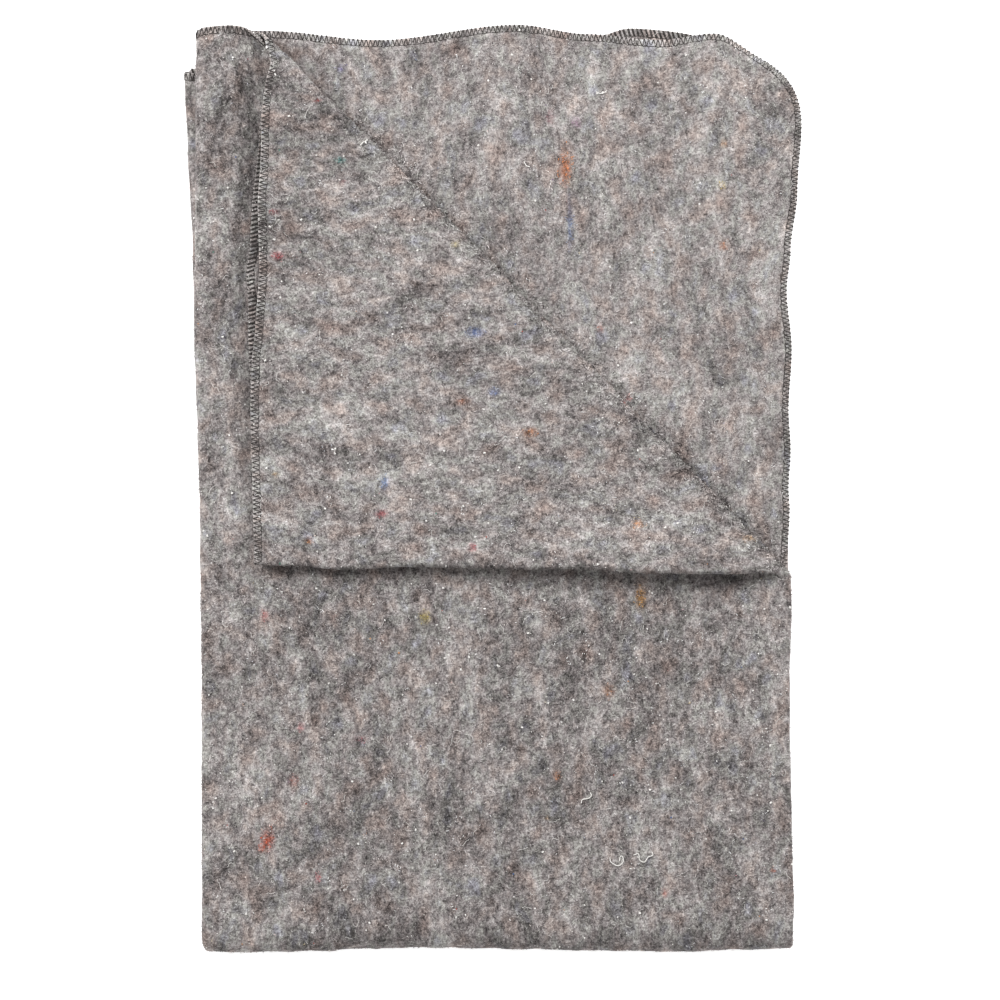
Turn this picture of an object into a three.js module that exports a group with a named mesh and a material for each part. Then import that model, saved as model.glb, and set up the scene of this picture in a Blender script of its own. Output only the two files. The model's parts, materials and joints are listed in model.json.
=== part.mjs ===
// Grey wool blanket: one cut sheet with rounded corners. It is folded in four along its length, then in
// half across its width, and the corner of the upper two layers is turned down over a diagonal.
// Millimetres, +Z up. The blanket lies on z = 0, its long side along Y, its crosswise fold towards -Y.
// The sheet is scored flat along every fold, and each scored point is then carried to its folded place.
import * as THREE from "three";

// Cloth
const THICKNESS = 2.6;
const LAYER_GAP = 0.5;
const CUT_CORNER_RADIUS = 72;
const WOOL_COLOUR = 0x8f8987;

// Folded outline, seen from above
const FOLDED_LEFT = -244.5;
const FOLDED_RIGHT = 250;
const FOLDED_BOTTOM = -388;
const CUT_RIGHT = 248;
const FRONT_TOP = 382;
const BACK_TOP = 351;

// Turned-down corner: the crest line of its diagonal fold, and how drawn-out that fold's round nose is
const CREST_START = { x: -189, y: 384 };
const CREST_END = { x: 249, y: -70 };
const CREST_DRAW = 1.5;
const CREST_ARC_RADIUS = 6;

// Spring of the turned-down corner: its lower fold and its cut edges on the left don't lie flat
const CORNER_LEFT = -197;
const CORNER_BOTTOM = -70;
const FOLD_SPRING = { reach: 38, underShare: 0.4, start: 5, full: 60 };
const FOLD_RISE = [
  { across: -200, rise: 4.5 },
  { across: 30, rise: 7.5 },
  { across: 105, rise: 13 },
  { across: 230, rise: 14 },
];
const EDGE_SPRING = { reach: 34, underShare: 0.8, start: 0, full: 30 };
const EDGE_RISE = [
  { up: -70, rise: 2.5 },
  { up: 60, rise: 3 },
  { up: 170, rise: 8 },
  { up: 240, rise: 15 },
  { up: 330, rise: 18 },
];

// Crosswise fold: how drawn-out its round nose is
const BOTTOM_DRAW = 1.8;

// How far a wavy edge carries into the cloth
const TOP_FADE = 170;
const SIDE_FADE = 150;
const FRONT_LEFT_FADE = 250;
const BOTTOM_FADE = 120;

// Fineness of the scoring
const BEND_STEPS = { tight: 4, wide: 6, crosswise: 6, crest: 6 };
const CORNER_DIVISIONS = 4;
const COLUMNS_ACROSS = [-216, -186, -140, -95, -40, 20, 55, 90, 115, 140, 182, 214, 233];
const ROWS_UP = [-280, -180, -100, 0, 90, 160, 215, 260, 300, 328, 350, 368];
const SCORE_SNAP = 0.9;

// Top cut edge of each layer in the upper half: how far it reaches past FRONT_TOP at places across
const TOP_EDGE = {
  outer: [
    { across: -250, reach: 4 },
    { across: -216, reach: 6.5 },
    { across: -186, reach: 2.5 },
    { across: -162, reach: 0.3 },
    { across: -112, reach: 3.6 },
    { across: -8, reach: 4.8 },
    { across: 15, reach: 6.8 },
    { across: 45, reach: 3.8 },
    { across: 124, reach: 1.3 },
    { across: 190, reach: -1.2 },
    { across: 250, reach: -4 },
  ],
  second: [
    { across: -250, reach: 0 },
    { across: -165, reach: 0.4 },
    { across: -128, reach: 3 },
    { across: -60, reach: 0.2 },
    { across: 20, reach: -3.8 },
    { across: 60, reach: -2.6 },
    { across: 95, reach: 0.3 },
    { across: 124, reach: 1.7 },
    { across: 190, reach: -0.9 },
    { across: 250, reach: -4 },
  ],
  third: [
    { across: -250, reach: 2 },
    { across: -186, reach: 2.7 },
    { across: -95, reach: -5 },
    { across: 20, reach: 7.8 },
    { across: 80, reach: 0 },
    { across: 138, reach: -5 },
    { across: 182, reach: 1 },
    { across: 214, reach: -7 },
    { across: 260, reach: 0 },
  ],
  inner: [
    { across: -250, reach: -2 },
    { across: -95, reach: -9 },
    { across: 20, reach: 3 },
    { across: 85, reach: -2.5 },
    { across: 115, reach: 4.4 },
    { across: 160, reach: 1.5 },
    { across: 190, reach: -4 },
    { across: 260, reach: -9 },
  ],
};

// Right side of the upper half: how far it stands out at places up the blanket. The outer and second
// layers meet there in a fold, and the third and inner layers end there in a cut edge.
const RIGHT_FOLD = [
  { up: -388, out: 1 },
  { up: -354, out: 2.5 },
  { up: -300, out: 1 },
  { up: -160, out: -1.2 },
  { up: -105, out: 0.5 },
  { up: -55, out: 0.8 },
  { up: -5, out: 3.4 },
  { up: 60, out: 4.6 },
  { up: 112, out: 3.6 },
  { up: 160, out: 5.4 },
  { up: 235, out: 6.2 },
  { up: 314, out: 10.8 },
  { up: 350, out: 9 },
  { up: 382, out: 9 },
];
const RIGHT_CUT = [
  { up: -388, out: -4 },
  { up: -60, out: -0.5 },
  { up: -18, out: 1.5 },
  { up: 0, out: 0.6 },
  { up: 33, out: 2.3 },
  { up: 66, out: 0.6 },
  { up: 117, out: 3.2 },
  { up: 167, out: -1 },
  { up: 200, out: 2.3 },
  { up: 250, out: 8 },
  { up: 310, out: 11.6 },
  { up: 382, out: 10 },
];
const INNER_CUT_SETBACK = 2.5;

// Left folds of the upper and lower halves, and the crosswise fold at the bottom
const LEFT_FRONT = [
  { up: -200, out: 0 },
  { up: -26, out: 1.5 },
  { up: 50, out: 3.3 },
  { up: 137, out: 6.5 },
  { up: 250, out: 5.5 },
  { up: 382, out: 5 },
];
const LEFT_BACK = [
  { up: -200, out: 0 },
  { up: -26, out: 1.7 },
  { up: 137, out: 6.7 },
  { up: 200, out: 8.3 },
  { up: 285, out: 12.5 },
  { up: 351, out: 15.1 },
];
const BOTTOM_FOLD = [
  { across: -250, reach: 0.5 },
  { across: -216, reach: 1.8 },
  { across: -60, reach: -2.4 },
  { across: 150, reach: 0.6 },
  { across: 250, reach: -1.6 },
];
const BACK_REACH = { outer: 0, second: -4, third: 2, inner: -2 };

// Loose lie of the stack, as shares of its height: slow swells, and a sag towards its right side
const SWELLS = [
  { share: 0.02, across: 430, up: 520, start: 0.6 },
  { share: 0.015, across: -360, up: 430, start: 2.1 },
];
const SIDE_SAG = { share: 0.09, reach: 26 };

// Heights of the layers of one half above the middle of the crosswise fold
const PITCH = THICKNESS + LAYER_GAP;
const LAYERS_PER_HALF = 4;
const HEIGHT = { inner: 0.5 * PITCH, third: 1.5 * PITCH, second: 2.5 * PITCH, outer: 3.5 * PITCH };
const HALF_HEIGHT = LAYERS_PER_HALF * PITCH - LAYER_GAP / 2;
const LEFT_CENTRE = FOLDED_LEFT + (HEIGHT.outer - HEIGHT.inner) / 2 + THICKNESS / 2;
const RIGHT_CENTRE = FOLDED_RIGHT - (HEIGHT.outer - HEIGHT.second) / 2 - THICKNESS / 2;
const FOLD_CENTRE = FOLDED_BOTTOM + BOTTOM_DRAW * HALF_HEIGHT;

// Section across the blanket, in the order of the flat sheet from its first cut edge to its last.
// A run lies flat from one place to the other, and a bend turns over from one layer to the next.
const SECTION = measureSection([
  { layer: "third", from: CUT_RIGHT, to: LEFT_CENTRE },
  { bend: ["third", "second"], side: -1, centre: LEFT_CENTRE, steps: BEND_STEPS.tight },
  { layer: "second", from: LEFT_CENTRE, to: RIGHT_CENTRE },
  { bend: ["second", "outer"], side: 1, centre: RIGHT_CENTRE, steps: BEND_STEPS.tight },
  { layer: "outer", from: RIGHT_CENTRE, to: LEFT_CENTRE },
  { bend: ["outer", "inner"], side: -1, centre: LEFT_CENTRE, steps: BEND_STEPS.wide },
  { layer: "inner", from: LEFT_CENTRE, to: CUT_RIGHT },
]);
const FLAT_LENGTH = SECTION.at(-1).end;
const TURNED = { start: SECTION[2].start, end: SECTION[4].end };

// Flat width: the lower half, the turn of the crosswise fold at the outer layer, then the upper half
const FOLD_QUARTER = (Math.PI / 2) * HEIGHT.outer * Math.sqrt((1 + BOTTOM_DRAW ** 2) / 2);
const BACK_RUN = BACK_TOP - FOLD_CENTRE;
const FRONT_RUN = FRONT_TOP - FOLD_CENTRE;
const FOLD_LINE = BACK_RUN + FOLD_QUARTER;
const FLAT_WIDTH = FOLD_LINE + FOLD_QUARTER + FRONT_RUN;

// Diagonal fold: its direction, and the turn of both layers about an axis just above the outer one
const CREST_LENGTH = Math.hypot(CREST_END.x - CREST_START.x, CREST_END.y - CREST_START.y);
const CREST_NORMAL = {
  x: (CREST_START.y - CREST_END.y) / CREST_LENGTH,
  y: (CREST_END.x - CREST_START.x) / CREST_LENGTH,
};
const TURN_AXIS_HEIGHT = LAYERS_PER_HALF * PITCH;
const CREST_TURN = Math.PI * CREST_ARC_RADIUS;
const CREST_NOSE = CREST_DRAW * (TURN_AXIS_HEIGHT - HEIGHT.second + THICKNESS / 2);

// Adds to each part of the section its start, end and turn, measured along the flat sheet.
function measureSection(parts) {
  let start = 0;
  return parts.map((part) => {
    const radius = part.bend ? Math.abs(HEIGHT[part.bend[1]] - HEIGHT[part.bend[0]]) / 2 : 0;
    const length = part.bend ? Math.PI * radius : Math.abs(part.to - part.from);
    const measured = { ...part, radius, start, end: start + length };
    start += length;
    return measured;
  });
}

// Smooth reading of a table between its rows.
function readTable(rows, place, value, at) {
  const next = rows.findIndex((row) => row[place] >= at);
  if (next === 0) return rows[0][value];
  if (next < 0) return rows.at(-1)[value];
  const [low, high] = [rows[next - 1], rows[next]];
  const share = THREE.MathUtils.smoothstep(at, low[place], high[place]);
  return THREE.MathUtils.lerp(low[value], high[value], share);
}

// One at an edge, falling smoothly to zero at the given distance inside it.
function fade(distance, reach) {
  return 1 - THREE.MathUtils.smoothstep(distance, 0, reach);
}

// Place in the section of a point of the flat sheet, offset from the middle of the cloth.
function rollSection(u, offset) {
  const part = SECTION.find((candidate) => u <= candidate.end) ?? SECTION.at(-1);
  if (part.layer) {
    const heading = Math.sign(part.to - part.from);
    const x = part.from + heading * (u - part.start);
    return { x, height: HEIGHT[part.layer] - heading * offset, layers: [part.layer, part.layer], share: 0 };
  }
  const [from, to] = part.bend;
  const middle = (HEIGHT[from] + HEIGHT[to]) / 2;
  const rise = Math.sign(HEIGHT[to] - HEIGHT[from]);
  const radius = part.radius + part.side * rise * offset;
  const share = (u - part.start) / (part.end - part.start);
  const angle = Math.PI * share;
  return {
    x: part.centre + part.side * radius * Math.sin(angle),
    height: middle - rise * radius * Math.cos(angle),
    layers: part.bend,
    share,
  };
}

// Value for a point that lies on one layer, or part of the way round a bend between two.
function blendLayers(section, read) {
  const [first, second] = section.layers.map(read);
  return THREE.MathUtils.lerp(first, second, section.share);
}

// Distance past the crest line of the diagonal fold, positive on the corner that turns down.
function pastCrest(x, y) {
  return (x - CREST_START.x) * CREST_NORMAL.x + (y - CREST_START.y) * CREST_NORMAL.y + CREST_NOSE;
}

// Shift of a point across, from the stand-out of its layer's right edge or fold.
function rightShift(section, y) {
  const out = blendLayers(section, (layer) => {
    if (layer === "outer" || layer === "second") return readTable(RIGHT_FOLD, "up", "out", y);
    return readTable(RIGHT_CUT, "up", "out", y) - (layer === "inner" ? INNER_CUT_SETBACK : 0);
  });
  return out * fade(FOLDED_RIGHT - section.x, SIDE_FADE);
}

// Upper half: wavy cut edges, and the turned-down corner of the outer and second layers.
function layFront(section, u, y) {
  const reach = blendLayers(section, (layer) => readTable(TOP_EDGE[layer], "across", "reach", section.x));
  const point = { x: section.x + rightShift(section, y), y, height: section.height };
  point.y += reach * fade(FRONT_TOP - y, TOP_FADE);
  if (u > TURNED.start && u < TURNED.end) turnCorner(point, section);
  point.x -= readTable(LEFT_FRONT, "up", "out", point.y) * fade(point.x - FOLDED_LEFT, FRONT_LEFT_FADE);
  return point;
}

// Turns the part of a layer beyond the diagonal fold up and over, round the axis above the outer layer.
function turnCorner(point, section) {
  const past = pastCrest(point.x, point.y);
  if (past <= 0) return;
  const radius = TURN_AXIS_HEIGHT - point.height;
  const angle = Math.min(past / CREST_ARC_RADIUS, Math.PI);
  const landed = past < CREST_TURN ? CREST_DRAW * radius * Math.sin(angle) : CREST_TURN - past;
  point.x += (landed - past) * CREST_NORMAL.x;
  point.y += (landed - past) * CREST_NORMAL.y;
  point.height = TURN_AXIS_HEIGHT - radius * Math.cos(angle) + cornerSpring(point, section, past);
}

// Height by which a point of the turned-down corner springs up, less in the layer that lies under.
function cornerSpring(point, section, past) {
  const rise = (edge, height, inward) => {
    const carried = Math.exp(-((Math.max(inward, 0) / edge.reach) ** 2));
    return height * carried * THREE.MathUtils.smoothstep(past, edge.start, edge.full);
  };
  const fold = rise(FOLD_SPRING, readTable(FOLD_RISE, "across", "rise", point.x), point.y - CORNER_BOTTOM);
  const cut = rise(EDGE_SPRING, readTable(EDGE_RISE, "up", "rise", point.y), point.x - CORNER_LEFT);
  return blendLayers(section, (layer) => {
    return layer === "outer" ? fold * FOLD_SPRING.underShare + cut * EDGE_SPRING.underShare : fold + cut;
  });
}

// Lower half: its layers end unevenly, and it lies a little turned under the upper half.
function layBack(section, y) {
  const reach = blendLayers(section, (layer) => BACK_REACH[layer]);
  const point = { x: section.x, y: y + reach * fade(BACK_TOP - y, TOP_FADE), height: section.height };
  point.x += rightShift(section, FOLD_CENTRE) * fade(y - FOLD_CENTRE, BOTTOM_FADE);
  point.x -= readTable(LEFT_BACK, "up", "out", point.y);
  return point;
}

// Folded place of a point of the flat sheet, offset from the middle of the cloth towards its face.
function foldPoint(u, v, offset) {
  const section = rollSection(u, offset);
  const fromFold = v - FOLD_LINE;
  const angle = (Math.PI / 2) * THREE.MathUtils.clamp(fromFold / FOLD_QUARTER, -1, 1);
  const up = FOLD_CENTRE + Math.max(Math.abs(fromFold) - FOLD_QUARTER, 0);
  const point = fromFold > 0 ? layFront(section, u, up) : layBack(section, up);
  const y = point.y - BOTTOM_DRAW * point.height * Math.cos(angle);
  const z = HALF_HEIGHT + point.height * Math.sin(angle);
  const bottom = readTable(BOTTOM_FOLD, "across", "reach", point.x) * fade(y - FOLDED_BOTTOM, BOTTOM_FADE);
  return new THREE.Vector3(point.x, y - bottom, z * (1 + swell(point.x, y)));
}

// Share by which the stack stands higher or lower at a place.
function swell(x, y) {
  const wave = (row) => row.share * Math.sin(2 * Math.PI * (x / row.across + y / row.up) + row.start);
  const inward = Math.max(FOLDED_RIGHT - x, 0) / SIDE_SAG.reach;
  return SWELLS.reduce((sum, row) => sum + wave(row), -SIDE_SAG.share * Math.exp(-(inward ** 2)));
}

// Flat sheet as one cell: its cut outline with rounded corners.
function cutOutline() {
  const shape = new THREE.Shape();
  const [r, length, width] = [CUT_CORNER_RADIUS, FLAT_LENGTH, FLAT_WIDTH];
  shape.absarc(r, r, r, Math.PI, 1.5 * Math.PI);
  shape.absarc(length - r, r, r, 1.5 * Math.PI, 2 * Math.PI);
  shape.absarc(length - r, width - r, r, 0, 0.5 * Math.PI);
  shape.absarc(r, width - r, r, 0.5 * Math.PI, Math.PI);
  const points = shape.getPoints(CORNER_DIVISIONS).map(({ x, y }) => ({ u: x, v: y }));
  return { points, cells: [points.map((_, index) => index)] };
}

// Splits every chosen cell of the sheet along the line where the measure is zero.
function score(sheet, measure, chosen = () => true) {
  const crossings = new Map();
  const side = sheet.points.map(({ u, v }) => {
    const value = measure(u, v);
    return Math.abs(value) < SCORE_SNAP ? 0 : value;
  });
  const crossing = (from, to) => {
    const key = from < to ? `${from} ${to}` : `${to} ${from}`;
    if (!crossings.has(key)) {
      const share = side[from] / (side[from] - side[to]);
      const [a, b] = [sheet.points[from], sheet.points[to]];
      const point = { u: THREE.MathUtils.lerp(a.u, b.u, share), v: THREE.MathUtils.lerp(a.v, b.v, share) };
      crossings.set(key, sheet.points.push(point) - 1);
    }
    return crossings.get(key);
  };
  sheet.cells = sheet.cells.flatMap((cell) => {
    const straddles = cell.some((index) => side[index] > 0) && cell.some((index) => side[index] < 0);
    if (!straddles || !chosen(cell)) return [cell];
    const halves = { above: [], below: [] };
    cell.forEach((index, position) => {
      const next = cell[(position + 1) % cell.length];
      if (side[index] >= 0) halves.above.push(index);
      if (side[index] <= 0) halves.below.push(index);
      if (side[index] * side[next] < 0) {
        const cut = crossing(index, next);
        halves.above.push(cut);
        halves.below.push(cut);
      }
    });
    return [halves.above, halves.below];
  });
}

// Flat places of the scores along the sheet: the columns of each run, and the steps of each bend.
function scoreLinesAlong() {
  return SECTION.flatMap((part) => {
    if (part.bend) {
      const step = (part.end - part.start) / part.steps;
      return Array.from({ length: part.steps + 1 }, (_, index) => part.start + index * step);
    }
    return COLUMNS_ACROSS.map((x) => part.start + Math.abs(x - part.from));
  });
}

// Flat places of the scores across the sheet: the rows of both halves, and the steps of the crosswise fold.
function scoreLinesAcross() {
  const steps = Array.from({ length: BEND_STEPS.crosswise + 1 }, (_, index) => {
    return FOLD_LINE + FOLD_QUARTER * ((2 * index) / BEND_STEPS.crosswise - 1);
  });
  const front = ROWS_UP.map((y) => FOLD_LINE + FOLD_QUARTER + y - FOLD_CENTRE);
  const back = ROWS_UP.map((y) => FOLD_LINE - FOLD_QUARTER - y + FOLD_CENTRE);
  return [...back, ...steps, ...front];
}

// Scores the flat sheet along every fold line, and closely enough elsewhere for it to lie unevenly.
function scoreSheet() {
  const sheet = cutOutline();
  scoreLinesAlong().forEach((line) => score(sheet, (u) => u - line));
  scoreLinesAcross().forEach((line) => score(sheet, (u, v) => v - line));
  const inTurned = (cell) => {
    const middle = cell.reduce((sum, index) => sum + sheet.points[index].u, 0) / cell.length;
    const low = cell.reduce((least, index) => Math.min(least, sheet.points[index].v), Infinity);
    return middle > TURNED.start && middle < TURNED.end && low >= FOLD_LINE;
  };
  const past = (u, v) => {
    const straight = v - FOLD_LINE - FOLD_QUARTER;
    return pastCrest(rollSection(u, 0).x, FOLD_CENTRE + straight);
  };
  for (let step = 0; step <= BEND_STEPS.crest; step += 1) {
    const line = (CREST_TURN * step) / BEND_STEPS.crest;
    score(sheet, (u, v) => past(u, v) - line, inTurned);
  }
  return sheet;
}

// Closed solid of the folded sheet: its face, its back and the cut rim between them.
function foldedSolid() {
  const sheet = scoreSheet();
  const half = THICKNESS / 2;
  const places = [half, -half].flatMap((offset) => sheet.points.map(({ u, v }) => foldPoint(u, v, offset)));
  const behind = sheet.points.length;
  const triangles = [];
  const rim = new Map();
  sheet.cells.forEach((cell) => {
    const corner = cell.reduce((best, index, position) => {
      const [here, there] = [places[index], places[cell[best]]];
      return here.x + here.y < there.x + there.y ? position : best;
    }, 0);
    const ring = [...cell.slice(corner), ...cell.slice(0, corner)];
    for (let step = 1; step < ring.length - 1; step += 1) {
      triangles.push(ring[0], ring[step + 1], ring[step]);
      triangles.push(ring[0] + behind, ring[step] + behind, ring[step + 1] + behind);
    }
    ring.forEach((index, position) => {
      const next = ring[(position + 1) % ring.length];
      if (!rim.delete(`${next} ${index}`)) rim.set(`${index} ${next}`, [index, next]);
    });
  });
  rim.forEach(([index, next]) => {
    triangles.push(index, next, next + behind);
    triangles.push(index, next + behind, index + behind);
  });
  const geometry = new THREE.BufferGeometry();
  geometry.setFromPoints(places);
  geometry.setIndex(triangles);
  geometry.computeBoundingBox();
  const middle = geometry.boundingBox.getCenter(new THREE.Vector3());
  geometry.translate(-middle.x, -middle.y, 0);
  geometry.computeVertexNormals();
  return geometry;
}

const wool = new THREE.MeshStandardMaterial({ color: WOOL_COLOUR, roughness: 0.95, metalness: 0 });
const blanket = new THREE.Mesh(foldedSolid(), wool);
blanket.name = "blanket";

const part = new THREE.Group();
part.add(blanket);

export default part;
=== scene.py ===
"""Looks of the folded wool blanket.

One cut sheet of felted recycled wool is carried to its folded place by the same folds as the solid. Its cut
edge is overlocked with dark thread, and a short nap with loose coloured fibres covers all that shows.
Lengths are millimetres in the fields of the classes and metres in the meshes.
"""

import json
import logging
import math
from dataclasses import dataclass, field
from enum import Enum
from typing import Any

import bmesh
import bpy
import numpy as np
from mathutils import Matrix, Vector
from mathutils.bvhtree import BVHTree

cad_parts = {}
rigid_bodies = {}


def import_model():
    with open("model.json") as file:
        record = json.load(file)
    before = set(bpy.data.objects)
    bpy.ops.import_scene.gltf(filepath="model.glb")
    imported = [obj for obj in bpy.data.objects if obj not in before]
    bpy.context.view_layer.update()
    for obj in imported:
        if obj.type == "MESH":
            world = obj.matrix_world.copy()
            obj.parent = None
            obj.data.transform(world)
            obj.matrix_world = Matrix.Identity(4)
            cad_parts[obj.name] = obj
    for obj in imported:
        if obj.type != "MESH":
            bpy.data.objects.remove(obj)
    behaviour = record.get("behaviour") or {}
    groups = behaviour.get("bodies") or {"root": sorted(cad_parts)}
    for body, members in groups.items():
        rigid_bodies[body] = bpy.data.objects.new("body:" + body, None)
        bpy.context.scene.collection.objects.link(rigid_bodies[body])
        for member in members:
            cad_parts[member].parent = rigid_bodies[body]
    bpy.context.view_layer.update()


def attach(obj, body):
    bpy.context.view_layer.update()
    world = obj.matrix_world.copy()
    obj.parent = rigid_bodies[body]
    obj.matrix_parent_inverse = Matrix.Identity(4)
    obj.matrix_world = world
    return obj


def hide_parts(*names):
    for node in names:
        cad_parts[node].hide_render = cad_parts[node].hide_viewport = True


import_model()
MM = 0.001
LOG = logging.getLogger("blanket")
# Where most values of a noise lie
NOISE_RANGE = (0.3, 0.7)
# Stands in for the length of a vector that has none
TINY = 1e-9


class Layer(Enum):
    """Layers of one half of the folded blanket, from its middle outwards."""

    INNER = 0
    THIRD = 1
    SECOND = 2
    OUTER = 3


def linear_colour(colour: str) -> tuple[float, float, float, float]:
    """Turns an sRGB hex colour into linear light.

    Args:
        colour: the colour as "#rrggbb".

    Returns:
        Red, green, blue and an alpha of one.
    """
    shares = [int(colour[place : place + 2], 16) / 255 for place in (1, 3, 5)]
    red, green, blue = (s / 12.92 if s <= 0.04045 else ((s + 0.055) / 1.055) ** 2.4 for s in shares)
    return (red, green, blue, 1.0)


def ease(value: np.ndarray, low: float | np.ndarray, high: float | np.ndarray) -> np.ndarray:
    """Returns zero up to low and one from high on, with a smooth rise between them."""
    share = np.clip((value - low) / (high - low), 0.0, 1.0)
    return share * share * (3.0 - 2.0 * share)


def fade(distance: np.ndarray, reach: float) -> np.ndarray:
    """Returns one at an edge, falling smoothly to zero at the given distance inside it."""
    return 1.0 - ease(distance, 0.0, reach)


def add_node(
    tree: bpy.types.NodeTree,
    kind: str,
    inputs: dict[str | int, Any] | None = None,
    links: dict[str | int, bpy.types.NodeSocket] | None = None,
    **settings: Any,
) -> bpy.types.Node:
    """Adds a node with its settings and links.

    Args:
        tree: the tree that gets the node.
        kind: the node's type.
        inputs: values for its sockets, by name or number.
        links: sockets that feed its own, by name or number.
        **settings: its other properties.

    Returns:
        The new node.
    """
    node = tree.nodes.new(kind)
    for name, value in settings.items():
        setattr(node, name, value)
    for name, value in (inputs or {}).items():
        node.inputs[name].default_value = value
    for name, socket in (links or {}).items():
        tree.links.new(socket, node.inputs[name])
    return node


def paint_ramp(ramp: bpy.types.Node, stops: tuple[tuple[float, str], ...]) -> None:
    """Gives a colour ramp its stops.

    Args:
        ramp: the ColorRamp node.
        stops: places from zero to one, each with its sRGB hex colour.
    """
    elements = ramp.color_ramp.elements
    while len(elements) < len(stops):
        elements.new(1.0)
    for element, (place, colour) in zip(elements, stops):
        element.position = place
        element.color = linear_colour(colour)


@dataclass(frozen=True)
class Course:
    """A measure that changes along an edge or fold, such as how far it stands out, rises or droops."""

    places: tuple[float, ...]
    reaches: tuple[float, ...]

    def read(self, at: np.ndarray) -> np.ndarray:
        """Reads the course, easing from one row to the next.

        Args:
            at: places along the edge or fold.

        Returns:
            The reach at each place.
        """
        places, reaches = np.array(self.places), np.array(self.reaches)
        row = np.clip(np.searchsorted(places, at), 1, len(places) - 1)
        share = ease(at, places[row - 1], places[row])
        return reaches[row - 1] + (reaches[row] - reaches[row - 1]) * share


@dataclass(frozen=True)
class Spring:
    """How an edge of the turned-down corner stands up, and how far in that carries."""

    reach: float
    under_share: float
    start: float
    full: float

    def share(self, inward: np.ndarray, past: np.ndarray) -> np.ndarray:
        """Returns the share of the edge's rise at places in from it and past the diagonal fold."""
        carried = np.exp(-((np.maximum(inward, 0.0) / self.reach) ** 2))
        return carried * ease(past, self.start, self.full)


@dataclass(frozen=True)
class SectionPart:
    """A flat run on one layer, or the bend from one layer to the next, along the flat sheet.

    A run starts at its origin and goes across in its heading. A bend bulges from its origin to that side.
    """

    first: Layer
    second: Layer
    start: float
    end: float
    origin: float
    heading: float

    @property
    def bends(self) -> bool:
        """Whether this part turns over from one layer to another."""
        return self.first is not self.second


@dataclass
class Section:
    """Places in the section across the blanket of points of the flat sheet."""

    across: np.ndarray
    height: np.ndarray
    first: np.ndarray
    second: np.ndarray
    share: np.ndarray

    def blend(self, values: dict[Layer, np.ndarray]) -> np.ndarray:
        """Returns each point's value, between those of its two layers while it is on a bend.

        Args:
            values: an array for each layer, with a value for every point.

        Returns:
            One value for every point.
        """
        table = np.stack([np.broadcast_to(values[layer], self.across.shape) for layer in Layer])
        every = np.arange(len(self.across))
        low, high = table[self.first, every], table[self.second, every]
        return low + (high - low) * self.share


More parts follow.
